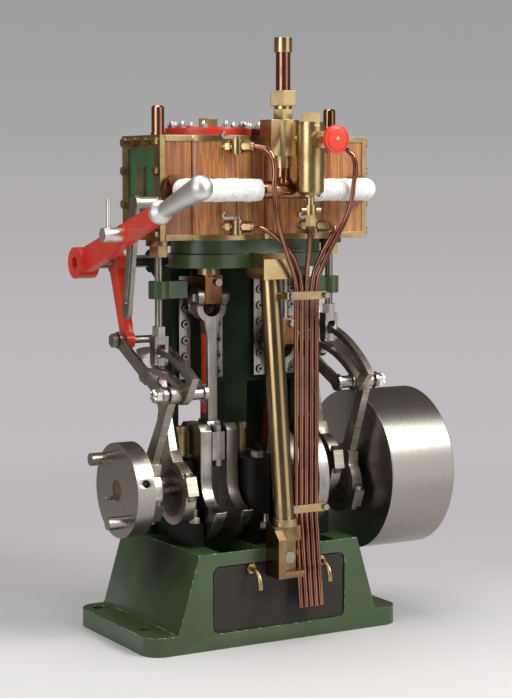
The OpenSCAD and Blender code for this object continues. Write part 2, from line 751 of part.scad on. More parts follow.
module cylinder_covers() {
    for (s = [-1, 1]) {
        color("#D8402F") {
            zcyl(block_top, cover_top - 2, cover_d, s * cyl_x, 0, 96);
            zcyl(cover_top - 2.1, cover_top, cover_d - 16, s * cyl_x, 0, 96);
        }
        color("#9A9A9A") for (i = [0 : cover_bolts - 1]) {
            t = (i + 0.5) * 360 / cover_bolts;
            x = s * cyl_x + (cover_d / 2 - 4) * cos(t);
            y = (cover_d / 2 - 4) * sin(t);
            hex_z(cover_top - 2, cover_top + 1.5, 5, x, y);
        }
    }
}
module cover_plugs() {
    color("#B09A5C") for (s = [-1, 1]) {
        hex_z(cover_top, cover_top + 5.5, 11.6, s * cyl_x, 0);
    }
}
module tail_rod_covers() {
    color("#A5705C") for (s = [-1, 1]) {
        zcyl(block_top, block_top + 2, 8.8, s * gear_x, 0);
        zcyl(block_top + 1.9, block_top + 17.5, 8, s * gear_x, 0);
        translate([s * gear_x, 0, block_top + 17.4]) cylinder(d1 = 8, d2 = 6, h = 1.1, $fn = 48);
    }
}
module chest_cover(s) {
    x0 = s > 0 ? chest_x : -chest_x - chest_cover_t;
    x1 = x0 + chest_cover_t;
    color("#B09A5C") difference() {
        box(x0, x1, -chest_half, chest_half, block_z, block_top);
        box(x0 - 1, x1 + 1, frame_w - chest_half, chest_half - frame_w,
            block_z + frame_w, block_top - frame_w);
    }
    px = s > 0 ? chest_x : -chest_x - chest_cover_t + 1.5;
    color("#2F7A4A") {
        box(px, px + chest_cover_t - 1.5, frame_w - chest_half, chest_half - frame_w,
            block_z + frame_w, block_top - frame_w);
    }
    color("#B09A5C") box(min(x0, px) - (s > 0 ? 0 : 0.5), max(x1, px) + (s > 0 ? 0.5 : 0), -4.5, 4.5,
        block_z + block_h * 0.3, block_z + block_h * 0.7);
    color("#B09A5C") {
        xb = s > 0 ? x1 : x0 - 2.5;
        for (y = [-1, -0.34, 0.34, 1], z = [0, 1])
            hex_x(xb, xb + 2.5, 5, [y * (chest_half - frame_w / 2),
                block_z + frame_w / 2 + z * (block_h - frame_w)]);
        for (k = [-1, 1], z = [0.34, 0.66])
            hex_x(xb, xb + 2.5, 5, [k * (chest_half - frame_w / 2), block_z + z * block_h]);
    }
}
module chest_cover_left() {
    chest_cover(-1);
    color("#9A9A9A") {
        xcyl(-bar_x + side, -chest_x - chest_cover_t, bar_w, bar_top);
        xcyl(-bar_x - bar_t - 0.2, -bar_x + side + 1, gear_pin_d, bar_top);
    }
}
module chest_cover_right() chest_cover(1);

module valve_guides() {
    for (s = [-1, 1]) {
        color("#4A6B4C") difference() {
            union() {
                zcyl(valve_guide_z[0], valve_guide_z[1], 13, s * gear_x, 0);
                box(min(s * gear_x, s * stand_x), max(s * gear_x, s * stand_x), -4, 4,
                    valve_guide_z[0], valve_guide_z[1]);
                box(min(s * stand_x, s * (stand_x + 6)), max(s * stand_x, s * (stand_x + 6)),
                    -4, guide_y, valve_guide_z[0], valve_guide_z[1]);
            }
            zcyl(valve_guide_z[0] - 9, valve_guide_z[1] + 9, valve_rod_d + 2 * run, s * gear_x, 0);
        }
        color("#B09A5C") difference() {
            union() {
                zcyl(block_z - 4, block_z, 16, s * gear_x, 0);
                hex_z(block_z - 11, block_z - 4, 11, s * gear_x, 0);
            }
            zcyl(block_z - 12, block_z - 2, valve_rod_d + 2 * run, s * gear_x, 0);
        }
    }
}

// Fork, nut and die block at the foot of a valve rod.
module valve_rod(q) {
    z = die_z(q[1]);
    x = q[0] * gear_x;
    p = link_t / 2 + side;
    color("#9A9A9A") {
        zcyl(z + 22, block_z - 4, valve_rod_d, x, 0);
        hex_z(z + 16, z + 22.1, 8, x, 0);
        box(x - p - prong_t, x + p + prong_t, -4, 4, z + 11, z + 16.1);
        for (s = [-1, 1]) plate(s > 0 ? x + p : x - p - prong_t, s > 0 ? x + p + prong_t : x - p) {
            translate([-3.5, z]) square([7, 11.5]);
            eye([0, z], 7);
        }
        xcyl(x - p - prong_t, x + p + prong_t, 3, [0, z], 32);
        plate(x - link_t / 2, x + link_t / 2)
            translate([-3.5, z - die_h / 2]) square([7, die_h]);
    }
}
module valve_rod_left() valve_rod(sides[0]);
module valve_rod_right() valve_rod(sides[1]);

module ring(c, ri, ro) {
    translate(c) difference() {
        circle(r = ro, $fn = 128);
        circle(r = ri, $fn = 128);
    }
}
// The part of the plane between two headings from a point.
module wedge(c, t0, t1) {
    translate(c) polygon([[0, 0], 160 * [cos(t0), sin(t0)], 160 * [cos(t1), sin(t1)]]);
}
module expansion_link(q) {
    c = link_centre(q[1]);
    f = front_pin(q[1]);
    b = rear_pin(q[1]);
    tf = heading(c, f);
    tb = heading(c, b);
    x = q[0] * gear_x;
    color("#A8A8AA") {
        difference() {
            plate(x - link_t / 2, x + link_t / 2) difference() {
                union() {
                    intersection() {
                        ring(c, link_in, link_out);
                        wedge(c, tb - 6, tf + 6);
                    }
                    eye(f, 13);
                    eye(b, 13);
                }
                intersection() {
                    ring(c, slot_r - slot_w / 2, slot_r + slot_w / 2);
                    wedge(c, tb - 1.5, tf + 1.5);
                }
            }
            xcyl(x - 10, x + 10, gear_pin_d + 2 * run, f);
        }
        link_stub(q, b);
    }
}
// Rear pin of the link, cut off short of the rear rod's face.
module link_stub(q, b) {
    x0 = q[0] * (gear_x - link_t / 2 + 0.5);
    x1 = q[0] * (rear_rod_x + rod_t / 2 + 0.3);
    xcyl(min(x0, x1), max(x0, x1), 9, b);
    x2 = q[0] * (gear_x + link_t / 2 - 0.5);
    x3 = q[0] * (gear_x + link_t / 2 + 2.4);
    xcyl(min(x2, x3), max(x2, x3), 9, b);
}
module link_left() expansion_link(sides[0]);
module link_right() expansion_link(sides[1]);

// Eccentric strap and rod in one plane, from its sheave's centre c to its pin p.
module eccentric_rod(x, c, p) {
    u = unit(c, p);
    n = [-u[1], u[0]];
    color("#9C9C9E") difference() {
        union() {
            plate(x - strap_w / 2, x + strap_w / 2) {
                eye(c, strap_d);
                bar(c - (strap_d / 2 + 3) * n, c + (strap_d / 2 + 3) * n, 12, 12);
                bar(c + (strap_d / 2 - 3) * u, c + (strap_d / 2 + 6) * u, 18, 12);
            }
            plate(x - rod_t / 2, x + rod_t / 2) {
                bar(c + (strap_d / 2) * u, p, 10, 6.5);
                eye(p, 11);
            }
        }
        xcyl(x - 9, x + 9, sheave_d + 2 * run, c, 96);
    }
    color("#B8B8BA") for (s = [-1, 1], k = [-1, 1]) {
        a = c + s * (strap_d / 2 - 0.2) * n + k * 6 * u;
        b = a + k * 3 * u;
        rod([x, a[0], a[1]], [x, b[0], b[1]], 5.5, 6);
    }
}
module front_rod(q) {
    f = front_pin(q[1]);
    x = q[0] * front_rod_x;
    i = q[0] * (gear_x - link_t / 2 - 2);
    eccentric_rod(x, front_sheave(q[1]), f);
    color("#9A9A9A") {
        xcyl(min(x, i), max(x, i), gear_pin_d, f);
        a = q[0] * (gear_x - link_t / 2 - side);
        xcyl(min(a, i), max(a, i), 9, f);
        b = q[0] * (front_rod_x - rod_t / 2);
        d = q[0] * (gear_x + link_t / 2 + side);
        xcyl(min(b, d), max(b, d), 9, f);
    }
}
module front_rod_left() front_rod(sides[0]);
module front_rod_right() front_rod(sides[1]);
module rear_rod(q) {
    b = rear_pin(q[1]);
    x = q[0] * rear_rod_x;
    eccentric_rod(x, rear_sheave(q[1]), b);
    color("#9A9A9A") {
        i = q[0] * (rear_rod_x - rod_t / 2);
        o = q[0] * (rear_rod_x - rod_t / 2 - 2);
        hex_x(min(i, o), max(i, o), 7.5, b);
    }
}
module rear_rod_left() rear_rod(sides[0]);
module rear_rod_right() rear_rod(sides[1]);

// The pair of bars from the drop arm's pin to the front pin, with their nuts and pin ends.
module drag_links(q) {
    f = front_pin(q[1]);
    u = unit(arm_pin, f);
    color("#B5B5B7") difference() {
        for (x = [q[0] * (drag_out_x + drag_t / 2), q[0] * (drag_in_x + drag_t / 2)])
            plate(x - drag_t / 2, x + drag_t / 2) {
                bar(arm_pin, f, drag_w, drag_w);
                eye(arm_pin, drag_w + 3);
                eye(f, drag_w + 3);
            }
        xcyl(-110, 110, gear_pin_d + 2 * run, arm_pin);
    }
    color("#9A9A9A") {
        a = q[0] * (front_rod_x + rod_t / 2 + side);
        b = q[0] * (drag_out_x + drag_t);
        c = q[0] * (drag_out_x + drag_t + 4);
        xcyl(min(a, b), max(a, b), gear_pin_d + 2, f);
        hex_x(min(b, c), max(b, c), 8, f);
        d = q[0] * drag_in_x;
        e = q[0] * (gear_x - link_t / 2 - 2 - side);
        xcyl(min(d, e), max(d, e), gear_pin_d + 3, f);
    }
}
module drag_links_left() drag_links(sides[0]);
module drag_links_right() drag_links(sides[1]);

module weigh_shaft() {
    color("#9A9A9A") xcyl(0.5 - lever_x, drag_out_x + 2, weigh_d, weigh);
    color("#D8402F") for (s = [-1, 1]) plate(s * front_rod_x - drop_w / 2, s * front_rod_x + drop_w / 2) {
        bar(weigh, arm_pin, 11, 8);
        eye(weigh, 16);
        eye(arm_pin, 11);
    }
    color("#9A9A9A") for (s = [-1, 1]) {
        a = s * drag_in_x;
        b = s * (drag_out_x + drag_t + 0.5);
        xcyl(min(a, b), max(a, b), gear_pin_d, arm_pin);
        hex_x(s > 0 ? b : b - 3.5, s > 0 ? b + 3.5 : b, 8, arm_pin);
    }
}
module hand_lever() {
    color("#D8402F") difference() {
        union() {
            xcyl(-lever_x - 6.5, 6.5 - lever_x, boss_d, weigh, 64);
            plate(-lever_x - lever_w / 2, lever_w / 2 - lever_x)
                bar(weigh, lever_end, boss_d - 4, 11);
            xcyl(-lever_x - lever_w / 2 - 0.5, clamp_in - lever_x, 13, clamp_pos);
        }
        xcyl(-lever_x - 8, 8 - lever_x, weigh_d, weigh);
        xcyl(-lever_x - 8, 8 - lever_x, clamp_d, clamp_pos);
    }
    color("#C4C4C6") {
        a = heading(lever_end, ball_at) - 90;
        translate([-lever_x, lever_end[0], lever_end[1]]) rotate([a, 0, 0])
            rotate_extrude($fn = 64) handle_outline();
    }
}
// Half outline of the handle: a collar, the taper and a domed end, turned about its axis.
module handle_outline() {
    polygon(concat([[0, -1], [6.2, -1], [7.2, 1], [7.2, 4], [handle_d / 2, 8]],
        [for (t = [0 : 10 : 90])
            [dome_d / 2 * cos(t), handle_len - dome_d / 2 + dome_d / 2 * sin(t)]]));
}
module clamp_screw() {
    color("#9A9A9A") {
        xcyl(-lever_x - clamp_out, clamp_in - lever_x, clamp_d, clamp_pos);
        zcyl(clamp_pos[1], clamp_pos[1] + tommy_len, 2.5, 4 - lever_x - clamp_out, clamp_pos[0], 24);
    }
}
module slotted_bar() {
    v = [sin(bar_lean), -cos(bar_lean)];
    e = bar_top + bar_len * v;
    color("#A8A8AA") difference() {
        plate(-bar_x - bar_t, -bar_x) difference() {
            union() {
                bar(bar_top, e, bar_w, bar_w);
                eye(bar_top, bar_w + 2);
                eye(e, bar_w);
            }
            bar(bar_top + 10 * v, e - 5 * v, 3.2, 3.2);
        }
        xcyl(-bar_x - 9, 9 - bar_x, gear_pin_d + 2 * run, bar_top);
    }
}

// Steam line: the lagged pipe runs both ways from the tee and turns back into the chests.
module lagged_pipes() {
    color("#F4F4F0") for (s = [-1, 1]) {
        xcyl(s > 0 ? 17 : elbow_r - elbow_x, s > 0 ? elbow_x - elbow_r : -17, lagged_d,
            [steam_line_y, steam_z]);
        translate([s * (elbow_x - elbow_r), steam_line_y + elbow_r, steam_z]) mirror([s < 0 ? 1 : 0, 0, 0])
            rotate([0, 0, -90]) rotate_extrude(angle = 90, $fn = 64) translate([elbow_r, 0])
            circle(d = lagged_d, $fn = 48);
    }
    color("#8F5F45") for (s = [-1, 1]) {
        ycyl(steam_line_y + elbow_r, -chest_half, 9, s * elbow_x, steam_z);
        ycyl(-chest_half - 3.5, -chest_half, 19, s * elbow_x, steam_z);
        for (t = [45 : 90 : 315])
            hex_y(-chest_half - 5.5, -chest_half - 3.4, 3, s * elbow_x + 7.2 * cos(t),
                steam_z + 7.2 * sin(t));
    }
}
module copper_pipe() {
    color("#A5705C") {
        zcyl(union_top, inlet_top - 9, steam_d, 0, steam_line_y);
        xcyl(-17, 17, steam_d + 2, [steam_line_y, steam_z]);
        zcyl(steam_z, tee_top, steam_d + 0.4, 0, steam_line_y);
        translate([0, steam_line_y, steam_z + 4])
            cylinder(d1 = steam_d + 5, d2 = steam_d + 0.4, h = 4, $fn = 48);
    }
}
// Body of the stop valve: an octagon with a square port to the left.
module valve_body() {
    translate([0, steam_line_y, valve_low]) rotate([0, 0, 22.5])
        cylinder(d = valve_w / cos(22.5), h = valve_high - valve_low, $fn = 8);
    box(-12.5, 0, steam_line_y - 7, steam_line_y + 7, valve_low, valve_high);
}
module stop_valve() {
    color("#B09A5C") {
        zcyl(tee_top, valve_low + 0.1, steam_d + 2, 0, steam_line_y);
        valve_body();
        hex_z(valve_high - 0.1, valve_high + 6.4, 11.6, 0, steam_line_y);
        zcyl(valve_high + 6.3, union_low + 0.1, 11, 0, steam_line_y);
        hex_z(union_low, union_top, 15.6, 0, steam_line_y);
        difference() {
            zcyl(inlet_top - 9, inlet_top, steam_d + 2, 0, steam_line_y);
            zcyl(inlet_top - 8, inlet_top + 1, steam_d - 2, 0, steam_line_y);
        }
    }
}

lub_low = valve_low - 22;
module lubricator() {
    color("#B09A5C") {
        zcyl(lub_low, valve_high - 1.5, lub_d, lub_x, -lub_y, 64);
        for (z = [lub_low + 3.5, valve_high - 5]) zcyl(z, z + 0.8, lub_d + 0.5, lub_x, -lub_y, 64);
        hex_z(valve_high - 1.6, valve_high + 4, 11, lub_x, -lub_y);
        translate([lub_x, -lub_y, lub_low - 2]) cylinder(d1 = 12, d2 = lub_d, h = 2.1, $fn = 64);
        zcyl(lub_low - 3, lub_low - 1.9, 12, lub_x, -lub_y);
        zcyl(lub_low - 8, lub_low - 2.9, 5, lub_x, -lub_y);
        zcyl(lub_low - 14, lub_low - 7.9, 7.5, lub_x, -lub_y);
        xcyl(lub_x - 7, lub_x + 7, 3, [-lub_y, lub_low - 11], 32);
        hex_z(lub_low - 21, lub_low - 13.9, 6, lub_x, -lub_y);
        difference() {
            rod([0, -steam_y, wheel_z + 1], [lub_x, -lub_y, wheel_z + 1], 8);
            valve_body();
        }
        ycyl(-lub_y - 11, -lub_y, 8, lub_x, wheel_z);
        hex_y(-lub_y - 14, -lub_y - 8, 10, lub_x, wheel_z);
        ycyl(-lub_y - 18, -lub_y - 13.9, 5, lub_x, wheel_z);
    }
}
module handwheel() {
    color("#D8402F") translate([lub_x, -wheel_y, wheel_z]) rotate([90, 0, 0]) {
        cylinder(d = wheel_d, h = wheel_t, $fn = 64);
        translate([0, 0, wheel_t - 0.1]) cylinder(d1 = wheel_d - 2, d2 = wheel_d - 4, h = 0.8, $fn = 64);
    }
    color("#B09A5C") {
        ycyl(-wheel_y, -lub_y - 18.3, 3, lub_x, wheel_z);
        ycyl(-wheel_y - wheel_t - 1.5, -wheel_y - wheel_t, 2.4, lub_x, wheel_z);
    }
}

// Cocks stand in pairs on the two cylinders: [cylinder side, height].
cocks = [[-1, cock_high], [1, cock_high], [-1, cock_low], [1, cock_low]];
cock_dir = [sin(cock_turn), -cos(cock_turn)];
function cock_root(c) = [c[0] * cyl_x - cock_off, -sqrt(drum_r * drum_r - cock_off * cock_off)];
function plug_pos(c) = cock_root(c) + plug_at * cock_dir;
function cock_end(c) = cock_root(c) + cock_len * cock_dir;
// A round or hexagonal length of a cock between two distances from its root.
module along_cock(c, a, b, d, fn = 32) {
    p = cock_root(c) + a * cock_dir;
    q = cock_root(c) + b * cock_dir;
    rod([p[0], p[1], c[1]], [q[0], q[1], c[1]], d, fn);
}
module cock_bodies() {
    color("#B09A5C") for (c = cocks) {
        p = plug_pos(c);
        difference() {
            union() {
                along_cock(c, -1.5, cock_len, 4.4);
                along_cock(c, 1.2, 4, 8, 6);
                along_cock(c, cock_len - 7, cock_len - 2, 7.4, 6);
                along_cock(c, cock_len - 2.1, cock_len, 5.6);
                zcyl(c[1] - 4.5, c[1] + 4.5, 7.2, p[0], p[1]);
            }
            zcyl(c[1] - 6, c[1] + 6, plug_d + 2 * run, p[0], p[1], 32);
            for (z = [block_z + band_h / 2, block_top - band_h / 2])
                translate([0, 0, z - band_h / 2]) linear_extrude(band_h) block_outline(-band_t);
            translate([0, 0, block_z]) linear_extrude(block_h) block_outline(0);
        }
    }
}
// A plug with its lever, which lies along the lagging and ends in a curl.
module cock_lever(c) {
    p = plug_pos(c);
    z = c[1] + 4.5 + run;
    color("#B8B4A6") {
        zcyl(c[1] - 5.5, z + 1.6, plug_d, p[0], p[1], 32);
        zcyl(z, z + 1.6, 5.4, p[0], p[1], 32);
        translate([p[0], p[1] + 1, z]) rotate([90, 0, 0]) linear_extrude(2) {
            translate([-cock_lever_len, 0]) square([cock_lever_len, 1.6]);
            translate([-cock_lever_len, 2.4]) difference() {
                circle(r = 2.4, $fn = 32);
                circle(r = 0.9, $fn = 32);
                translate([0, -0.8]) square([3, 4]);
            }
        }
    }
}
module cock_top_left() cock_lever(cocks[0]);
module cock_top_right() cock_lever(cocks[1]);
module cock_low_left() cock_lever(cocks[2]);
module cock_low_right() cock_lever(cocks[3]);

// A round tube swept along a list of points, as one closed surface.
tube_sides = 10;
function along(p, i) = unit3(p[min(i + 1, len(p) - 1)] - p[max(i - 1, 0)]);
function unit3(v) = v / norm(v);
module tube(p, d) {
    n = len(p);
    ring = [for (i = [0 : n - 1]) let (t = along(p, i), a = unit3(cross(t, [0.3, 1, 0.2])),
        b = cross(t, a)) for (k = [0 : tube_sides - 1])
        p[i] + d / 2 * (cos(360 / tube_sides * k) * a + sin(360 / tube_sides * k) * b)];
    side_faces = [for (i = [0 : n - 2], k = [0 : tube_sides - 1])
        let (j = (k + 1) % tube_sides, a = i * tube_sides, b = a + tube_sides)
        each [[a + k, b + k, b + j], [a + k, b + j, a + j]]];
    polyhedron(concat(ring, [p[0], p[n - 1]]), concat(side_faces,
        [for (k = [0 : tube_sides - 1]) [k, (k + 1) % tube_sides, n * tube_sides]],
        [for (k = [0 : tube_sides - 1])
            [(n - 1) * tube_sides + (k + 1) % tube_sides, (n - 1) * tube_sides + k,
                n * tube_sides + 1]]));
}
// A point on the cubic curve from a to b whose ends point along u and v.
function curve_point(a, u, b, v, t) =
    (1 - t) ^ 3 * a + 3 * t * (1 - t) ^ 2 * (a + u) + 3 * t ^ 2 * (1 - t) * (b - v) + t ^ 3 * b;
function curve(a, u, b, v, n) = [for (i = [0 : n]) curve_point(a, u, b, v, i / n)];
bundle_top = [for (i = [0 : 4]) [drain_x + i * drain_pitch, drain_y, clip_high + 4]];
out = [cock_dir[0], cock_dir[1], 0];
down = [0, 0, -1];
function cock_exit(c) = [cock_end(c)[0], cock_end(c)[1], c[1]];
// Where each pipe starts and which way, then how it ends above the upper clip.
starts = [[cock_exit(cocks[0]), 14 * out], [cock_exit(cocks[2]), 6 * out],
    [[lub_x, -lub_y, lub_low - 21], 12 * down], [cock_exit(cocks[3]), 8 * out],
    [cock_exit(cocks[1]), 22 * out]];
ends = [14, 26, 18, 20, 18];
// The upper cocks' pipes drop in front of the lagged pipe before they join the rest.
fall = [[-13, -57.5, steam_z + 2], undef, undef, undef, [45, -56, steam_z - 2]];
fall_out = [30, 0, 0, 0, 18];
function upper_run(i) = is_undef(fall[i])
    ? concat([starts[i][0]], curve(starts[i][0] + unit3(starts[i][1]), starts[i][1],
        bundle_top[i], ends[i] * down, 7))
    : concat([starts[i][0]], curve(starts[i][0] + unit3(starts[i][1]), starts[i][1], fall[i],
        10 * down, 6),
        [for (k = [1 : 7])
            curve_point(fall[i], fall_out[i] * down, bundle_top[i], ends[i] * down, k / 7)]);
module drain_pipes() {
    color("#A5705C") for (i = [0 : 4]) {
        x = bundle_top[i][0];
        bend = [for (k = [0 : 3]) [x, drain_y - lean_y * k * k / 54, lean_z - 3 * k]];
        tube(concat(upper_run(i), bend, [[x, drain_y - lean_y, pipe_end]]), drain_d);
    }
}
clip_x0 = drain_x - 5;
clip_x1 = drain_x + 4 * drain_pitch + 5;
module pipe_clips() {
    color("#B09A5C") difference() {
        for (z = [clip_high, clip_low]) {
            for (x = [clip_x0, clip_x1]) zcyl(z - 2.5, z + 2.5, 5, x, drain_y);
            box(clip_x0, clip_x1, drain_y - 2.5, drain_y + 2.5, z - 2.5, z + 2.5);
            rod([clip_x0, drain_y, z], [2, -column_top_y + (z > 200 ? -2 : -17), z], 4);
        }
        for (i = [0 : 4])
            zcyl(clip_low - 9, clip_high + 9, drain_d, drain_x + i * drain_pitch, drain_y, 24);
        column_shaft();
    }
    color("#9A9A9A") difference() {
        for (z = [clip_high, clip_low], x = [clip_x0, clip_x1])
            hex_y(drain_y - 5, drain_y - 2.5, 3.6, x, z);
        column_shaft();
    }
}

module column_shaft() {
    rod([0, -column_y, column_z], [0, -column_top_y, top_z - 4], column_d, 64);
}
module front_column() {
    color("#B09A5C") {
        column_shaft();
        translate([-5, 0, 0]) rotate([90, 0, -90]) linear_extrude(5.5)
            polygon([[bed_front, 43.5], [bed_front + 16, 43.5], [bed_front + 16, 68],
                [bed_front + 9, 75.5], [bed_front + 4, 75.5], [bed_front, 68]]);
        box(-10.4, 8.3, -bed_front - 5, -bed_front, 43.6, 72);
        box(-10.4, 8.3, -bed_front - 15.9, -bed_front, 43.6, 47.5);
        box(-10.4, 8.3, -bed_front - 11, -bed_front, 66, 75.4);
        translate([9.5, 0, 0]) rotate([90, 0, -90]) linear_extrude(21)
            polygon([[column_top_y - 10, top_z - 6.5], [column_top_y + 12.5, top_z - 6.5],
                [column_top_y + 12.5, top_z + 6], [column_top_y + 9, top_z + 9.8],
                [ent_r + 1.6, top_z + 9.8], [ent_r + 1.6, top_z], [column_top_y - 10, top_z]]);
    }
    color("#9A9A9A") {
        hex_y(-bed_front - 9, -bed_front - 5, 7, 2, 55);
        zcyl(column_z + 3.3, column_z + 8, column_d + 3, 0, -column_y);
    }
}

bedplate();
sump_plate();
drain_stubs();
crankshaft();
coupling_disc();
flywheel();
bearing_left();
bearing_middle();
bearing_right();
oil_cups();
eccentric_sheaves();
conrod_left();
conrod_right();
crosshead_left();
crosshead_right();
guide_strips();
standards();
entablature();
cylinder_block();
lagging();
brass_bands();
cylinder_covers();
cover_plugs();
tail_rod_covers();
chest_cover_left();
chest_cover_right();
valve_guides();
valve_rod_left();
valve_rod_right();
link_left();
link_right();
front_rod_left();
front_rod_right();
rear_rod_left();
rear_rod_right();
drag_links_left();
drag_links_right();
weigh_shaft();
hand_lever();
clamp_screw();
slotted_bar();
lagged_pipes();
copper_pipe();
stop_valve();
lubricator();
handwheel();
cock_bodies();
cock_top_left();
cock_top_right();
cock_low_left();
cock_low_right();
drain_pipes();
pipe_clips();
front_column();
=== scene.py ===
import json
import math
import bpy
import bmesh
import numpy as np
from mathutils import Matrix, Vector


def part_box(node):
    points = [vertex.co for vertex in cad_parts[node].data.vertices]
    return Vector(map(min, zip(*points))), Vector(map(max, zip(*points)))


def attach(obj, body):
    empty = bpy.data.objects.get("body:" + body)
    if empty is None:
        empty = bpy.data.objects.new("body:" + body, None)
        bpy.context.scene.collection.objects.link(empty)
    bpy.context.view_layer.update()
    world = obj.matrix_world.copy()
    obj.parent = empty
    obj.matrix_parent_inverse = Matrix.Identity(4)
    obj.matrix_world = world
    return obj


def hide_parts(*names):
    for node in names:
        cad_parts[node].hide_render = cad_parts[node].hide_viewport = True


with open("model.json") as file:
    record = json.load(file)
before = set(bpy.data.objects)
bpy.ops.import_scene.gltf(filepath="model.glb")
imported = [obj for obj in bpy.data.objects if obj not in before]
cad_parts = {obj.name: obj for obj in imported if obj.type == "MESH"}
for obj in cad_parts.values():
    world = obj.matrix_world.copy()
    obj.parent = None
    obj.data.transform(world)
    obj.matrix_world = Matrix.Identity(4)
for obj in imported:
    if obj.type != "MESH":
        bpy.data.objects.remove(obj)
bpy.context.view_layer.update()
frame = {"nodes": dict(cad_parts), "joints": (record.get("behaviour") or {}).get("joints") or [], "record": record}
record = frame["record"]
bodyOf = {node: body for body, members in record["behaviour"]["bodies"].items() for node in members}
mm = 0.001
print("frame loaded:", len(bodyOf), "nodes")

# Camera: place in metres, yaw and pitch in degrees, lens and sensor in mm
cameraSet = {"place": (-0.5850, -1.0192, 0.29405), "yaw": 30.17, "pitch": 5.43, "lens": 94.33, "sensor": 36}


def makeCamera(s):
    data = bpy.data.cameras.new("camera")
    data.lens = s["lens"]
    data.sensor_width = s["sensor"]
    cam = bpy.data.objects.new("camera", data)
    bpy.context.scene.collection.objects.link(cam)
    cam.location = s["place"]
    cam.rotation_euler = (math.radians(90 - s["pitch"]), 0, math.radians(-s["yaw"]))
    bpy.context.scene.camera = cam


def linear(colour):
    # sRGB hex to linear red, green, blue and alpha
    c = np.array([int(colour[i:i + 2], 16) for i in (1, 3, 5)]) / 255
    return (*np.where(c <= 0.04045, c / 12.92, ((c + 0.055) / 1.055) ** 2.4), 1.0)


def addNode(tree, kind, settings=None, links=None):
    # adds one shader node. Settings are its inputs, its properties or a colour ramp's (position,
    # hex) stops; links are inputs fed by a node's first output, or by a (node, output name).
    node = tree.nodes.new("ShaderNode" + kind)
    for key, value in (settings or {}).items():
        if key == "stops":
            while len(node.color_ramp.elements) < len(value):
                node.color_ramp.elements.new(0.5)
            for element, (place, colour) in zip(node.color_ramp.elements, value):
                element.position = place
                element.color = linear(colour)
        elif isinstance(key, int) or key in node.inputs:
            node.inputs[key].default_value = value
        else:
            setattr(node, key, value)
    for key, source in (links or {}).items():
        source, output = source if isinstance(source, tuple) else (source, 0)
        tree.links.new(source.outputs[output], node.inputs[key])
    return node


def newMaterial(name):
    material = bpy.data.materials.new(name)
    material.use_nodes = True
    material.node_tree.nodes.clear()
    return material, material.node_tree


def shadeWith(tree, settings, links):
    # ends a material with one Principled shader: constant settings, and the patterns that feed it
    shader = addNode(tree, "BsdfPrincipled", settings, links)
    addNode(tree, "OutputMaterial", {}, {"Surface": shader})


# Finishes. Noise reads object coordinates in metres: its marks are about 1000 / Scale mm across.
# Enamel: brushed oil paint over filler on castings. It is glossy, with clouds about 26 mm across
# and a faint ripple of 2.4 mm. Oil is a brown film, fading away from where it drips.
def enamel(name, colour, shade, gloss=0.32, ripple=0.00006, coat=0.25, specular=0.5, oil=None):
    m, t = newMaterial(name)
    coord = addNode(t, "TexCoord")
    clouds = addNode(t, "TexNoise", {"Scale": 38, "Detail": 4, "Roughness": 0.55},
                     {"Vector": (coord, "Object")})
    tone = addNode(t, "ValToRGB", {"stops": [(0.35, shade), (0.62, colour)]}, {"Fac": clouds})
    if oil:
        reach = oil["reach"]
        off = addNode(t, "VectorMath", {"operation": "DISTANCE", 1: oil["place"]}, {0: (coord, "Object")})
        ragged = addNode(t, "Math", {"operation": "MULTIPLY_ADD", 1: reach, 2: -reach / 2}, {0: clouds})
        far = addNode(t, "Math", {"operation": "ADD"}, {0: (off, "Value"), 1: ragged})
        film = addNode(t, "MapRange", {"From Min": reach, "From Max": 0.0, "To Max": oil["cover"]},
                       {"Value": far})
        tone = addNode(t, "Mix", {"data_type": "RGBA", 7: linear(oil["colour"])}, {0: film, 6: tone}), 2
    grain = addNode(t, "TexNoise", {"Scale": 420, "Detail": 2, "Roughness": 0.55},
                    {"Vector": (coord, "Object")})
    bump = addNode(t, "Bump", {"Distance": ripple}, {"Height": grain})
    settings = {"Roughness": gloss, "Coat Weight": coat, "Coat Roughness": 0.2,
                "Specular IOR Level": specular}
    shadeWith(t, settings, {"Base Color": tone, "Normal": bump})
    return m


# Worn paint edge: the same enamel with pale chips where corners were knocked, 1 to 3 mm long.
def wornEdge(name, colour, chip, cover, fade=0.02):
    m, t = newMaterial(name)
    coord = addNode(t, "TexCoord")
    wear = addNode(t, "TexNoise", {"Scale": 300, "Detail": 4, "Roughness": 0.55},
                   {"Vector": (coord, "Object")})
    tone = addNode(t, "ValToRGB", {"stops": [(cover - fade, colour), (cover + fade, chip)]}, {"Fac": wear})
    shadeWith(t, {"Roughness": 0.4}, {"Base Color": tone})
    return m


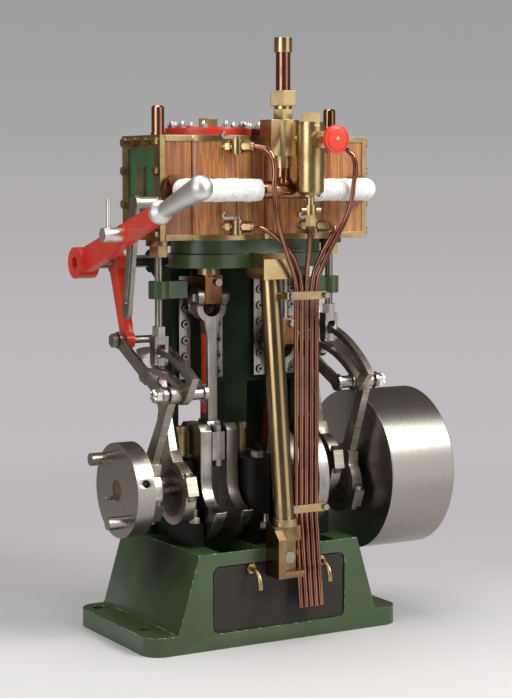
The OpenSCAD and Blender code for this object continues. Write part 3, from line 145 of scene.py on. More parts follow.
# Machined metal: tool lines along one axis give a streaky satin shine, and a stain darkens it
# in patches about 18 mm across. Real tool lines are finer: they are drawn wide enough to show.
def machined(name, light, dark, rough, lines=(30, 900, 900), depth=0.000012, stain=None):
    m, t = newMaterial(name)
    coord = addNode(t, "TexCoord")
    placed = addNode(t, "Mapping", {"Scale": lines}, {"Vector": (coord, "Object")})
    streaks = addNode(t, "TexNoise", {"Scale": 1, "Detail": 3, "Roughness": 0.6}, {"Vector": placed})
    patches = addNode(t, "TexNoise", {"Scale": 55, "Detail": 4, "Roughness": 0.55},
                      {"Vector": (coord, "Object")})
    tone = addNode(t, "ValToRGB", {"stops": [(0.3, dark), (0.7, light)]}, {"Fac": streaks})
    if stain:
        mask = addNode(t, "MapRange", {"From Min": 0.52, "From Max": 0.72, "To Max": 0.75},
                       {"Value": patches})
        tone = addNode(t, "Mix", {"data_type": "RGBA", 7: linear(stain)}, {0: mask, 6: tone}), 2
    gloss = addNode(t, "MapRange", {"From Min": 0.3, "From Max": 0.7, "To Min": rough - 0.06,
                                    "To Max": rough + 0.1}, {"Value": patches})
    bump = addNode(t, "Bump", {"Distance": depth}, {"Height": streaks})
    shadeWith(t, {"Metallic": 1.0}, {"Base Color": tone, "Roughness": gloss, "Normal": bump})
    return m


# Turned metal: rings about an X axis through (y, z), pitch metres apart, wide enough to show.
def turned(name, light, dark, rough, centre, pitch, depth):
    m, t = newMaterial(name)
    coord = addNode(t, "TexCoord")
    moved = addNode(t, "VectorMath", {"operation": "SUBTRACT", 1: (0, *centre)}, {0: (coord, "Object")})
    flat = addNode(t, "VectorMath", {"operation": "MULTIPLY", 1: (0, 1, 1)}, {0: moved})
    radius = addNode(t, "VectorMath", {"operation": "LENGTH"}, {0: flat})
    apart = addNode(t, "SeparateXYZ", {}, {"Vector": moved})
    both = addNode(t, "Math", {"operation": "ADD"}, {0: (radius, "Value"), 1: (apart, "X")})
    settings = {"noise_dimensions": "1D", "Scale": 1 / pitch, "Detail": 4, "Roughness": 0.7}
    line = addNode(t, "TexNoise", settings, {"W": both})
    tone = addNode(t, "ValToRGB", {"stops": [(0.3, dark), (0.7, light)]}, {"Fac": line})
    gloss = addNode(t, "MapRange", {"To Min": rough - 0.08, "To Max": rough + 0.12}, {"Value": line})
    bump = addNode(t, "Bump", {"Distance": depth}, {"Height": line})
    shadeWith(t, {"Metallic": 1.0}, {"Base Color": tone, "Roughness": gloss, "Normal": bump})
    return m


# Mahogany: varnished planks with dark straight pores along Z, about 0.7 mm wide and 18 mm long,
# in a figure 3 mm wide. Each plank has its own tone, which also moves its grain.
def mahogany(name):
    m, t = newMaterial(name)
    tone = addNode(t, "Attribute", {"attribute_name": "tone"})
    coord = addNode(t, "TexCoord")
    apart = addNode(t, "SeparateXYZ", {}, {"Vector": (coord, "Object")})
    lift = addNode(t, "Math", {"operation": "MULTIPLY", 1: 0.8}, {0: (tone, "Fac")})
    height = addNode(t, "Math", {"operation": "ADD"}, {0: (apart, "Z"), 1: lift})
    grainAt = addNode(t, "CombineXYZ", {}, {0: (apart, "X"), 1: (apart, "Y"), 2: height})
    wide = addNode(t, "Mapping", {"Scale": (340, 340, 20)}, {"Vector": grainAt})
    fine = addNode(t, "Mapping", {"Scale": (1500, 1500, 55)}, {"Vector": grainAt})
    figure = addNode(t, "TexNoise", {"Scale": 1.0, "Detail": 5, "Roughness": 0.6, "Distortion": 1.1},
                     {"Vector": wide})
    pores = addNode(t, "TexNoise", {"Scale": 1.0, "Detail": 3, "Roughness": 0.7}, {"Vector": fine})
    body = addNode(t, "ValToRGB", {"stops": [(0.28, "#764428"), (0.42, "#AC7040"), (0.56, "#C68A52"),
                                             (0.72, "#DCA96A")]}, {"Fac": figure})
    mask = addNode(t, "MapRange", {"From Min": 0.5, "From Max": 0.68, "To Max": 0.85}, {"Value": pores})
    grained = addNode(t, "Mix", {"data_type": "RGBA", 7: linear("#4A2A16")}, {0: mask, 6: body})
    plankTone = addNode(t, "ValToRGB", {"stops": [(0.0, "#C4A084"), (0.5, "#FFFAF4"), (1.0, "#FFF2DC")]},
                        {"Fac": (tone, "Fac")})
    toned = addNode(t, "Mix", {"data_type": "RGBA", "blend_type": "MULTIPLY", 0: 1.0},
                    {6: (grained, 2), 7: plankTone})
    bump = addNode(t, "Bump", {"Distance": 0.00004}, {"Height": pores})
    shadeWith(t, {"Roughness": 0.38, "Coat Weight": 0.5, "Coat Roughness": 0.22},
              {"Base Color": (toned, 2), "Normal": bump})
    return m


# Painted string: thick white oil paint over cotton cord wound round the pipe, matt and a
# little grey in the hollows.
def paintedString(name):
    m, t = newMaterial(name)
    coord = addNode(t, "TexCoord")
    dirt = addNode(t, "TexNoise", {"Scale": 260, "Detail": 4, "Roughness": 0.55},
                   {"Vector": (coord, "Object")})
    weave = addNode(t, "TexNoise", {"Scale": 700, "Detail": 3, "Roughness": 0.55},
                    {"Vector": (coord, "Object")})
    tone = addNode(t, "ValToRGB", {"stops": [(0.3, "#D9D6CB"), (0.5, "#F4F4F0")]}, {"Fac": dirt})
    bump = addNode(t, "Bump", {"Distance": 0.0002}, {"Height": weave})
    shadeWith(t, {"Roughness": 0.55}, {"Base Color": tone, "Normal": bump})
    return m


crankAxis = (0.0, 0.098)   # y and z in metres, as the oil's place and reach are
oilSet = {"place": (-0.0605, 0.002, 0.056), "reach": 0.044, "cover": 1.0, "colour": "#1E160F"}
upright, polished, cast = (900, 900, 30), (200, 200, 30), (60, 60, 60)   # tool lines per metre on X, Y, Z
finish = {
    # mid green, glossy; the bedplate's has the oil stain at its left end and pale worn edges
    "green": enamel("greenEnamel", "#3A4F2E", "#304527"),
    "bedGreen": enamel("bedplateEnamel", "#3A4F2E", "#304527", oil=oilSet),
    "greenEdge": wornEdge("greenEnamelWornEdge", "#465C38", "#C9CDBB", 0.57),
    # green darkened by oil and by painted shade, nearly without gloss
    "shadedOiledGreen": enamel("shadedOiledGreenEnamel", "#1B2A13", "#131D0D", 0.6, coat=0.0, specular=0.15),
    # fresher green in the panels, clear red, and a darker red that is painted shade
    "panelGreen": enamel("panelGreenEnamel", "#3C6B42", "#355F3B"),
    "red": enamel("redEnamel", "#E23A20", "#C8321E", 0.4),
    "shadedRed": enamel("shadedRedEnamel", "#8E2019", "#6E1813", 0.4),
    # glossy black, then a matt black that swallows the light, and a darker one that is black paint with painted
    # shade
    "blackEnamel": enamel("blackEnamel", "#1C1918", "#141211", 0.35),
    "black": enamel("blackPaint", "#2E2926", "#211D1B", 0.5, 0.0001, 0.0, 0.35),
    "shadedBlack": enamel("shadedBlackPaint", "#14100F", "#0D0B0A", 0.5, 0.0001, 0.0, 0.15),
    "iron": enamel("castIron", "#2E2B28", "#242220", 0.6),
    # satin steel with lines along X or Z, then pale steel polished nearly without lines
    "steel": machined("brushedSteel", "#B0AAA2", "#857F77", 0.30, stain="#6B645C"),
    "steelUp": machined("brushedSteelUpright", "#B0AAA2", "#857F77", 0.30, upright, stain="#6B645C"),
    "bright": machined("polishedSteel", "#E4E2DE", "#D2D0CC", 0.36, polished, 0.000004),
    "handleSteel": machined("handleSteel", "#F6F5F2", "#E8E7E4", 0.42, polished, 0.000002),
    # lathe rings that draw the light out into a fan
    "turnedSteel": turned("turnedSteel", "#AAA59D", "#9C978F", 0.27, crankAxis, 0.0006, 0.000002),
    # rods wiped clean, and eccentrics brown with oil
    "rodSteel": machined("brushedRodSteel", "#C4BCB0", "#988F82", 0.33, stain="#766C5F"),
    "darkSteel": machined("oiledSteel", "#A39A8C", "#6E6557", 0.3, stain="#574D40"),
    # brass, from dull and brown to clean and yellow
    "agedBrass": machined("agedBrass", "#9C8060", "#7A6246", 0.26, cast, 0.000004, "#5A4630"),
    "brass": machined("brass", "#BFA67C", "#937C58", 0.27, cast, stain="#75603E"),
    "brassUp": machined("drawnBrass", "#B29A76", "#968160", 0.21, (120, 120, 8), 0.000001, "#826C4E"),
    "polishedBrass": machined("polishedBrass", "#D0B888", "#B8A074", 0.26, cast, 0.000003, "#94804F"),
    # smooth drawn copper, and reddish bronze with a broad soft shine
    "copper": machined("copper", "#B07C66", "#8C5E4C", 0.13, (120, 120, 12), 0.000001, "#6E4638"),
    "bronze": machined("bronze", "#98684C", "#77523C", 0.36, (200, 200, 60), stain="#553A26"),
    # warm red-brown wood under varnish, and lumpy white paint
    "wood": mahogany("mahogany"),
    "string": paintedString("paintedString"),
}
print("finishes:", len(finish))

# CAD pieces with rounded edges: weld in metres, flat, corner and sharp in degrees
dressSet = {"weld": 2e-6, "flat": 0.6, "corner": 30, "sharp": 35, "segments": 2}


# A merged copy of a CAD node's mesh with flat faces joined and edges rounded by bevel mm.
# rule(x, y, z, nx) gives each triangle's finish number, from its centre in mm and the X part
# of its normal. Rounded edges take the finish number edge, or their neighbours' finish.
def dress(node, finishes, rule=None, bevel=0.25, edge=-1, sharp=dressSet["sharp"]):
    work = bmesh.new()
    work.from_mesh(frame["nodes"][node].data)
    bmesh.ops.remove_doubles(work, verts=work.verts, dist=dressSet["weld"])
    mesh = bpy.data.meshes.new(node + "Dressed")
    work.to_mesh(mesh)
    if rule:
        centre, normal = np.empty(len(mesh.polygons) * 3), np.empty(len(mesh.polygons) * 3)
        mesh.polygons.foreach_get("center", centre)
        mesh.polygons.foreach_get("normal", normal)
        x, y, z = centre.reshape(-1, 3).T / mm
        mesh.polygons.foreach_set("material_index", rule(x, y, z, normal[::3]))
        work.clear()
        work.from_mesh(mesh)
    bmesh.ops.dissolve_limit(work, angle_limit=math.radians(dressSet["flat"]), verts=work.verts,
                             edges=work.edges, delimit={"MATERIAL"})
    work.to_mesh(mesh)
    work.free()
    mesh.shade_smooth()
    mesh.set_sharp_from_angle(angle=math.radians(sharp))
    for name in finishes:
        mesh.materials.append(finish[name])
    piece = bpy.data.objects.new(node + "Dressed", mesh)
    bpy.context.scene.collection.objects.link(piece)
    if bevel:
        rounding = piece.modifiers.new("rounding", "BEVEL")
        rounding.width = bevel * mm
        rounding.segments = dressSet["segments"]
        rounding.angle_limit = math.radians(dressSet["corner"])
        rounding.harden_normals = True
        rounding.material = edge
    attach(piece, bodyOf[node])
    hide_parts(node)


def either(*tests):
    # finish 1 where any of the tests holds, else 0
    return np.logical_or.reduce(tests).astype(int)


# A new piece from points in mm: it rides with a node.
def makePiece(name, node, points, faces, finishes, index=None, sharp=35, stands=False, tone=None):
    mesh = bpy.data.meshes.new(name)
    mesh.from_pydata((np.asarray(points) * mm).tolist(), [], faces)
    for key in finishes:
        mesh.materials.append(finish[key])
    if index is not None:
        mesh.polygons.foreach_set("material_index", index)
    if tone is not None:
        mesh.attributes.new("tone", "FLOAT", "FACE").data.foreach_set("value", tone)
    mesh.shade_smooth()
    mesh.set_sharp_from_angle(angle=math.radians(sharp))
    piece = bpy.data.objects.new(name, mesh)
    bpy.context.scene.collection.objects.link(piece)
    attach(piece, bodyOf[node])
    if stands:
        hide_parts(node)


# Faces of a grid of rings: ring i joins ring i + 1, each ring closed, both ends capped.
def ringFaces(rings, sides):
    i, k = np.meshgrid(np.arange(rings - 1), np.arange(sides), indexing="ij")
    j = (k + 1) % sides
    quads = np.stack([i * sides + k, i * sides + j, (i + 1) * sides + j, (i + 1) * sides + k], -1)
    last = (rings - 1) * sides
    return quads.reshape(-1, 4).tolist() + [list(range(sides - 1, -1, -1)), list(range(last, last + sides))]


def circle(a, b, sides):
    # unit vectors at even angles round a circle in the plane of a and b
    t = np.linspace(0, 2 * np.pi, sides, endpoint=False)
    return np.cos(t)[None, :, None] * a + np.sin(t)[None, :, None] * b


# A tube carried along a path: at each point a ring of the given radii, square to the path.
def sweep(path, radii, up):
    along = np.gradient(path, axis=0)
    along /= np.linalg.norm(along, axis=1, keepdims=True)
    a = np.cross(along, np.asarray(up, float))
    a /= np.linalg.norm(a, axis=1, keepdims=True)
    b = np.cross(along, a)
    ring = path[:, None] + radii[..., None] * circle(a[:, None], b[:, None], radii.shape[1])
    return ring.reshape(-1, 3), ringFaces(*radii.shape)


# A profile of (radius, height) turned round an axis that starts at a place and runs along way.
def turnedShape(profile, place, way=(0, 0, 1), sides=24):
    profile = np.asarray(profile, float)
    way = np.asarray(way, float)
    a = np.cross(way, (0.3, 1.0, 0.2) if abs(way[1]) < 0.9 else (1.0, 0.2, 0.3))   # any vector off the axis
    a /= np.linalg.norm(a)
    radius, height = profile.T[:, :, None, None]
    ring = np.asarray(place, float) + height * way + radius * circle(a, np.cross(way, a), sides)
    return ring.reshape(-1, 3), ringFaces(len(profile), sides)


# Joins several (points, faces) into one, and says which of them each face came from.
def joined(parts):
    at = np.cumsum([0] + [len(p) for p, f in parts])
    points = np.concatenate([p for p, f in parts])
    faces = [[v + int(n) for v in face] for n, (p, f) in zip(at, parts) for face in f]
    return points, faces, np.repeat(np.arange(len(parts)), [len(f) for p, f in parts])


# Base and shaft. Lengths in the settings below are in mm.
cylX = 27.5   # each cylinder's distance from the middle
dress("bedplate", ["bedGreen", "greenEdge"], None, 0.5, 1)
dress("sump_plate", ["black"])
dress("drain_stubs", ["brass"], None, 0.12)

# the shaft's left end is brass, on faces whose normal points to the left
shaftSet = {"end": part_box("crankshaft")[0][0] / mm + 0.3, "facing": -0.9}
dress("crankshaft", ["steelUp", "agedBrass"],
      lambda x, y, z, nx: either((x < shaftSet["end"]) & (nx < shaftSet["facing"])), 0.4)
dress("coupling_disc", ["turnedSteel"], None, 0.5)
dress("flywheel", ["turnedSteel"], None, 0.6)

# bearings: studs and nuts in front of front and above foot, and the nut above top, are steel
bearingSet = {"left": (-12.1, 75.9), "middle": (-21.3, 69.9), "right": (-12.1, 75.9), "top": 114.05}
# bearing blocks take the darkest black: black paint with painted shade
for side in ("left", "middle", "right"):
    front, foot = bearingSet[side]
    dress("bearing_" + side, ["shadedBlack", "steel"],
          lambda x, y, z, nx: either((y < front) & (z > foot), z > bearingSet["top"]), 0.4)
dress("oil_cups", ["brass"], None, 0.2)
dress("eccentric_sheaves", ["darkSteel"], None, 0.3)

# Rods. A connecting rod has painted flutes on both sides, fluteLow to fluteHigh from its middle
# plane: from the crank pin (y, z) they run along the rod, which leans by an angle whose sine is
# pin y over the rod's length.
# the right rod's flutes take the darker red, which is painted shade
rodSet = {"left": (-cylX, (0, 123), "red"), "right": (cylX, (25, 98), "shadedRed"), "long": 94,
          "fluteLow": 3.3, "fluteHigh": 3.8, "facing": 0.9, "middle": 46, "half": 27}
# A crosshead's piston rod, its front bolt and what stands out beyond its block are steel.
crossSet = {"rod": 4.2, "rodLow": 180, "block": 6.1, "bolt": -7.05}
dragNut = 78.65   # the drag links' castle nuts lie beyond this
for side in ("left", "right"):
    middle, pin, paint = rodSet[side]
    lean = math.asin(pin[0] / rodSet["long"])

    def flute(x, y, z, nx):
        along = (z - pin[1]) * math.cos(lean) - (y - pin[0]) * math.sin(lean)
        off = np.abs(x - middle)
        floor = (off > rodSet["fluteLow"]) & (off < rodSet["fluteHigh"]) & (np.abs(nx) > rodSet["facing"])
        return either(floor & (np.abs(along - rodSet["middle"]) < rodSet["half"]))

    def crosshead(x, y, z, nx):
        rod = (np.hypot(x - middle, y) < crossSet["rod"]) & (z > crossSet["rodLow"])
        return either(rod, np.abs(x - middle) > crossSet["block"], y < crossSet["bolt"])

    dress("conrod_" + side, ["steelUp", paint], flute, 0.3)
    dress("crosshead_" + side, ["bronze", "steelUp"], crosshead, 0.35)
    dress("link_" + side, ["rodSteel"], None, 0.35)
    for rod in ("front_rod_", "rear_rod_"):
        dress(rod + side, ["rodSteel"], None, 0.4)
    dress("drag_links_" + side, ["steel", "bright"], lambda x, y, z, nx: either(np.abs(x) > dragNut), 0.35)
    dress("valve_rod_" + side, ["steelUp"], None, 0.25)

# Columns and cylinders: steel nuts on the standards' feet, and brass glands under the entablature
columnSet = {"nutLow": 66.9, "nutHigh": 70.9, "nutFront": 45, "glandBelow": 235.9}
dress("guide_strips", ["steelUp"], None, 0.25)
# the standards' green is darkened by oil and by painted shade
dress("standards", ["shadedOiledGreen", "steel"], lambda x, y, z, nx: either(
    (z > columnSet["nutLow"]) & (z < columnSet["nutHigh"]) & (y > columnSet["nutFront"])), 0.5)
dress("entablature", ["green", "brass"], lambda x, y, z, nx: either(z < columnSet["glandBelow"]), 0.5)
dress("cylinder_block", ["iron"])
dress("brass_bands", ["brass"], None, 0.2)

# covers: steel nuts beyond nutRing and above nutFoot, the left cover red and the right one black
coverSet = {"nutRing": 19.4, "nutFoot": 322.1}


def coverRule(x, y, z, nx):
    nut = (np.hypot(np.abs(x) - cylX, y) > coverSet["nutRing"]) & (z > coverSet["nutFoot"])
    return np.select([nut, x > 0], [1, 2], 0)


dress("cylinder_covers", ["red", "steel", "blackEnamel"], coverRule, 0.35)
dress("cover_plugs", ["brass"], None, 0.3)
dress("tail_rod_covers", ["copper"], None, 0.3)

# steam chest covers: a sunk green panel round (0, height), and on the left cover the slotted
# bar's steel pivot
chestSet = {"pivotFrom": -75.1, "pivot": (-21, 277), "pivotRadius": 5.2,
            "height": 286.25, "halfWide": 17.4, "halfTall": 23.7, "panel": 73.2, "panelDeep": 0.4}


def chestRule(x, y, z, nx):
    s = chestSet
    pivot = (x < s["pivotFrom"]) & (np.hypot(y - s["pivot"][0], z - s["pivot"][1]) < s["pivotRadius"])
    inside = (np.abs(y) < s["halfWide"]) & (np.abs(z - s["height"]) < s["halfTall"])
    return np.select([pivot, inside & (np.abs(np.abs(x) - s["panel"]) < s["panelDeep"])], [2, 1], 0)


for side in ("left", "right"):
    dress("chest_cover_" + side, ["brass", "panelGreen", "steel"], chestRule, 0.3)

# Reversing gear: brass glands on the valve guides, and a steel handle. The drop arms, at armX
# from the middle and below armTop, are red on the left and dark on the right.
gearSet = {"glandAbove": 235, "armX": 71, "armHalf": 3.05, "armTop": 247, "handle": -59.8}


def shaftRule(x, y, z, nx):
    arm = (np.abs(np.abs(x) - gearSet["armX"]) < gearSet["armHalf"]) & (z < gearSet["armTop"])
    return np.select([arm & (x < 0), arm], [1, 2], 0)


dress("valve_guides", ["green", "brass"], lambda x, y, z, nx: either(z > gearSet["glandAbove"]), 0.35)
dress("weigh_shaft", ["steel", "red", "darkSteel"], shaftRule, 0.3)
dress("hand_lever", ["red", "handleSteel"], lambda x, y, z, nx: either(y < gearSet["handle"]), 0.4)
dress("clamp_screw", ["bright"], None, 0.4)
dress("slotted_bar", ["steelUp"], None, 0.35)

# Steam and drain lines. The wheel's brass hub stands out in front of its red disc, and its
# spindle behind.
pipeSet = {"flange": -36.05, "clipBolt": -47.55,
           "hub": (11, 315.5), "hubRadius": 1.6, "disc": (-91.9, -87.4)}


def wheelRule(x, y, z, nx):
    front, back = pipeSet["disc"]
    hub = np.hypot(x - pipeSet["hub"][0], z - pipeSet["hub"][1]) < pipeSet["hubRadius"]
    return either(hub & ((y < front) | (y > back)))


dress("lagged_pipes", ["string", "bronze"], lambda x, y, z, nx: either(y > pipeSet["flange"]), 0.3)
dress("copper_pipe", ["copper"], None, 0.1)
dress("stop_valve", ["polishedBrass"], None, 0.4)
dress("lubricator", ["polishedBrass"], None, 0.3)
dress("handwheel", ["red", "brass"], wheelRule, 0.4)
dress("cock_bodies", ["brass"], None, 0.2)
for cock in ("top_left", "top_right", "low_left", "low_right"):
    dress("cock_" + cock, ["steelUp"], None, 0.2)
dress("drain_pipes", ["copper"], None, 0, sharp=60)
dress("pipe_clips", ["brass", "steel"], lambda x, y, z, nx: either(y < pipeSet["clipBolt"]), 0.25)

# front column: a dull foot round footZ with a steel hexagon at (x, z), and a polished cap
frontSet = {"hexagon": (2, 55), "hexRadius": 4.2, "hexFront": -51, "footZ": 60, "footHalf": 16, "cap": 229}


def frontRule(x, y, z, nx):
    s = frontSet
    hexagon = (y < s["hexFront"]) & (np.hypot(x - s["hexagon"][0], z - s["hexagon"][1]) < s["hexRadius"])
    return np.select([hexagon, np.abs(z - s["footZ"]) < s["footHalf"], z > s["cap"]], [2, 1, 3], 0)


dress("front_column", ["brassUp", "agedBrass", "steelUp", "polishedBrass"], frontRule, 0.4)
print("CAD pieces dressed")

# Planks: strips of lagging side by side along the block's outline, each with V edges. The
# outline is four arcs of radius drum, cut at angles in degrees, and four flat walls.
plankSet = {"thick": 2.6, "gap": 0.1, "vee": 0.35, "low": 257.75, "high": 314.75, "drum": 36.5,
            "half": 26.0, "end": 71.3, "cuts": [-115.7, -90.0, -64.3], "seed": 5}


# One plank: surface(across, lift) gives x and y, across from 0 to 1 over its face and lift mm
# outside it. The outline falls back at both edges, and is raised from low to high.
def plank(surface, s):
    across = np.array([0.0, 0.06, 0.25, 0.5, 0.75, 0.94, 1.0])
    drop = np.array([s["vee"], 0.05, 0.0, 0.0, 0.0, 0.05, s["vee"]])
    loop = np.concatenate([surface(across, -drop), surface(np.array([1.0, 0.0]), -s["thick"])])
    rings = np.concatenate([np.c_[loop, np.full(len(loop), z)] for z in (s["low"], s["high"])])
    return rings, ringFaces(2, len(loop))


def makePlanks(s):
    parts, mirrored = [], []
    joint = math.degrees(math.asin(s["half"] / s["drum"]))
    cusp = math.degrees(math.acos(cylX / s["drum"]))
    stops = [joint - 180, *s["cuts"], -cusp]
    inset = math.degrees(s["gap"] / s["drum"])
    wall = cylX + s["drum"] * math.cos(math.radians(joint))
    for mx, my in ((-1, -1), (-1, 1), (1, -1), (1, 1)):
        def arc(across, lift):
            t = np.radians(start + (stop - start) * across)
            r = s["drum"] + lift
            return np.stack([-mx * (-cylX + r * np.cos(t)), my * -r * np.sin(t)], -1)

        def flat(across, lift):
            x = -s["end"] + (s["end"] - wall - s["gap"]) * across
            return np.stack([-mx * x, my * np.broadcast_to(s["half"] + lift, x.shape)], -1)

        for a, b in zip(stops[:-1], stops[1:]):
            start, stop = a + inset, b - inset
            parts.append(plank(arc, s))
        parts.append(plank(flat, s))
        mirrored += [mx == my] * len(stops)
    # two of the four mirrored quarters run the other way round: their faces are turned outwards
    points, faces, part = joined(parts)
    faces = [face[::-1] if mirrored[p] else face for face, p in zip(faces, part)]
    tone = np.random.default_rng(s["seed"]).random(len(parts))[part]
    makePiece("planks", "lagging", points, faces, ["wood"], None, 40, True, tone)


makePlanks(plankSet)

# Cover studs: threaded ends with domed tips standing above their nuts.
studSet = {"reach": 23.3, "radius": 1.5, "from": 325.3, "tall": 2.4, "count": 10}


def makeStuds(s):
    r, tall = s["radius"], s["tall"]
    profile = [(r, 0), (r, tall * 0.75), (r * 0.8, tall * 0.93), (r * 0.35, tall)]
    turn = np.radians((np.arange(s["count"]) + 0.5) * 360 / s["count"])
    places = [(side * cylX + s["reach"] * math.cos(t), s["reach"] * math.sin(t), s["from"])
              for side in (-1, 1) for t in turn]
    points, faces, part = joined([turnedShape(profile, place, sides=12) for place in places])
    makePiece("coverStuds", "cylinder_covers", points, faces, ["bright"])


makeStuds(studSet)

# Cover plates: the flat flange under the nuts, with a small round on its rim.
plateSet = {"radius": 27.32, "from": 321.6, "top": 323.4, "round": 0.3}


def makePlates(s):
    r, k, high = s["radius"], s["round"], s["top"] - s["from"]
    profile = [(r, 0), (r, high - k), (r - 0.3 * k, high - 0.3 * k), (r - k, high)]
    parts = [turnedShape(profile, (side * cylX, 0, s["from"]), sides=96) for side in (-1, 1)]
    points, faces, part = joined(parts)
    makePiece("coverPlates", "cylinder_covers", points, faces, ["red", "blackEnamel"], part)


makePlates(plateSet)

# Key screw beside the shaft's end: a small pin with a rounded tip.
screwSet = {"place": (-92.9, 6.6, 92.2), "reach": 5.6, "radius": 1.25}


def makeKeyScrew(s):
    r, long = s["radius"], s["reach"]
    points, faces = turnedShape([(r, 0), (r, long * 0.93), (r * 0.8, long)], s["place"], (-1, 0, 0), 16)
    makePiece("keyScrew", "crankshaft", points, faces, ["steelUp"])


makeKeyScrew(screwSet)

# Guide strip screws: black six-sided discs on the cap heads and black discs on the strip round them, painted shade
# in the sockets and painted shadow in the counterbores.
socketShadeSet = {"front": 8.35, "strip": 10.02, "from": 168.0, "pitch": 10.4, "until": 227.0, "apart": 11.8,
             "socketShade": [(1.35, 0), (1.35, 0.08), (0.5, 0.1)], "boreShadow": [(2.75, 0), (2.75, 0.1)]}


def makeSocketShades(s):
    parts = []
    for x in (-cylX - s["apart"], -cylX + s["apart"], cylX - s["apart"], cylX + s["apart"]):
        for z in np.arange(s["from"], s["until"], s["pitch"]):
            parts.append(turnedShape(s["socketShade"], (x, s["front"], z), (0, -1, 0), 6))
            parts.append(turnedShape(s["boreShadow"], (x, s["strip"], z), (0, -1, 0), 20))
    points, faces, part = joined(parts)
    makePiece("stripSocketShades", "guide_strips", points, faces, ["black"])


makeSocketShades(socketShadeSet)

# Castle nuts on the link pins: six square prongs round the pin's domed end.
castleSet = {"face": 82.6, "tall": 1.4, "prong": 1.25, "apart": 2.75, "end": 1.5}


def makeCastle(s, side, sign):
    pin = np.array(next(j["pos_m"] for j in frame["joints"] if j["name"] == "link_" + side + "_turn")) / mm
    x, tall, end = sign * s["face"], s["tall"], s["end"]
    turn = np.radians(np.arange(30, 390, 60))
    places = [(x, pin[1] + s["apart"] * math.cos(t), pin[2] + s["apart"] * math.sin(t)) for t in turn]
    parts = [turnedShape([(s["prong"], 0), (s["prong"], tall)], place, (sign, 0, 0), 4) for place in places]
    dome = [(end, 0), (end, tall * 0.5), (end * 0.6, tall * 0.9), (end * 0.1, tall)]
    parts.append(turnedShape(dome, (x, pin[1], pin[2]), (sign, 0, 0), 16))
    points, faces, part = joined(parts)
    makePiece("castleProngs_" + side, "drag_links_" + side, points, faces, ["bright"])


makeCastle(castleSet, "left", -1)
makeCastle(castleSet, "right", 1)

# String lagging: cord wound on the steam pipe under thick paint. Along the pipe the radius rises
# and falls once a turn of cord, and slow waves make it lumpy: each wave is how fast it turns
# along and round the pipe, its start and its share of the lump. The ends draw in by taper.
lagSet = {"from": 17.2, "bendAt": 55.0, "bend": 10.0, "height": 285.0, "front": -46.0, "radius": 6.95,
          "pitch": 2.3, "ridge": 0.13, "lump": 0.14, "step": 0.38, "sides": 32,
          "taper": 0.16, "taperLong": 0.8,
          "waves": [(0.61, 2, 0.0, 1.0), (0.27, -1, 1.3, 1.0), (1.1, 3, 0.4, 0.6)]}


def makeLagging(s):
    straight = s["bendAt"] - s["from"]
    length = straight + math.pi / 2 * s["bend"]
    at = np.linspace(0, length, int(length / s["step"]))
    turn = np.clip((at - straight) / s["bend"], 0, None)
    x = s["from"] + np.minimum(at, straight) + s["bend"] * np.sin(turn)
    y = s["front"] + s["bend"] * (1 - np.cos(turn))
    along, about = at[:, None], np.linspace(0, 2 * np.pi, s["sides"], endpoint=False)[None]
    wound = s["ridge"] * np.cos(2 * np.pi * along / s["pitch"] - about)
    lump = s["lump"] * sum(share * np.sin(fast * along + often * about + begin)
                           for fast, often, begin, share in s["waves"])
    ends = 1 - s["taper"] * np.exp(-np.minimum(along, length - along) / s["taperLong"])
    radii = (s["radius"] + wound + lump) * ends
    parts = [sweep(np.c_[side * x, y, np.full(len(x), s["height"])], radii, (0, 0, 1)) for side in (-1, 1)]
    points, faces, part = joined(parts)
    makePiece("stringLagging", "lagged_pipes", points, faces, ["string"], None, 60)


makeLagging(lagSet)
print("planks, cover plates, studs, screws, castle nuts and string lagging made")

# Stage: a round paper floor in a studio, lengths in metres. The floor is lit near the engine
# and fades over blend to its own tone, which the camera alone sees. Near the engine its paper
# colour darkens from the front to the back along away, a painted falloff of light; own runs from
# the middle to the rim. Boxes are soft boxes that gloss alone reflects: azimuth and half width
# in degrees, strength. Their edges are soft between boxEdge times the half width, and over
# boxFade above and below.
stageSet = {"boxes": [(203, 15, 1.3), (300, 17, 1.2)], "boxLow": -0.25, "boxHigh": 0.6, "boxFade": 0.1,
            "boxEdge": (1.25, 0.9), "radius": 6, "sides": 96, "away": (0.5025, 0.8646, 0),
            "depth": (-0.2, 0.8), "blend": (0.28, 0.75), "ambient": 0.4,
            "paintedFalloff": [(0.0, "#CDCBCA"), (0.08, "#CBC9C8"), (0.27, "#BCB9BA"), (0.40, "#AEA9AC"),
                    (1.0, "#AEA9AC")],
            "own": [(0.0, "#C1BCBF"), (0.1, "#C1BCBF"), (0.32, "#BDB8BB"), (1.0, "#B4B0B0")],
            "wallRise": (-0.04, 0.085), "wall": [(0.0, "#B4B0B0"), (1.0, "#9E9D9D")],
            "roomRise": (-0.2, 0.7), "dome": [(0.0, "#8C8A88"), (1.0, "#FFFFFF")],
            "room": [(0.0, "#8C8884"), (0.22, "#7A746E"), (0.45, "#4A443C"), (1.0, "#5A544C")]}


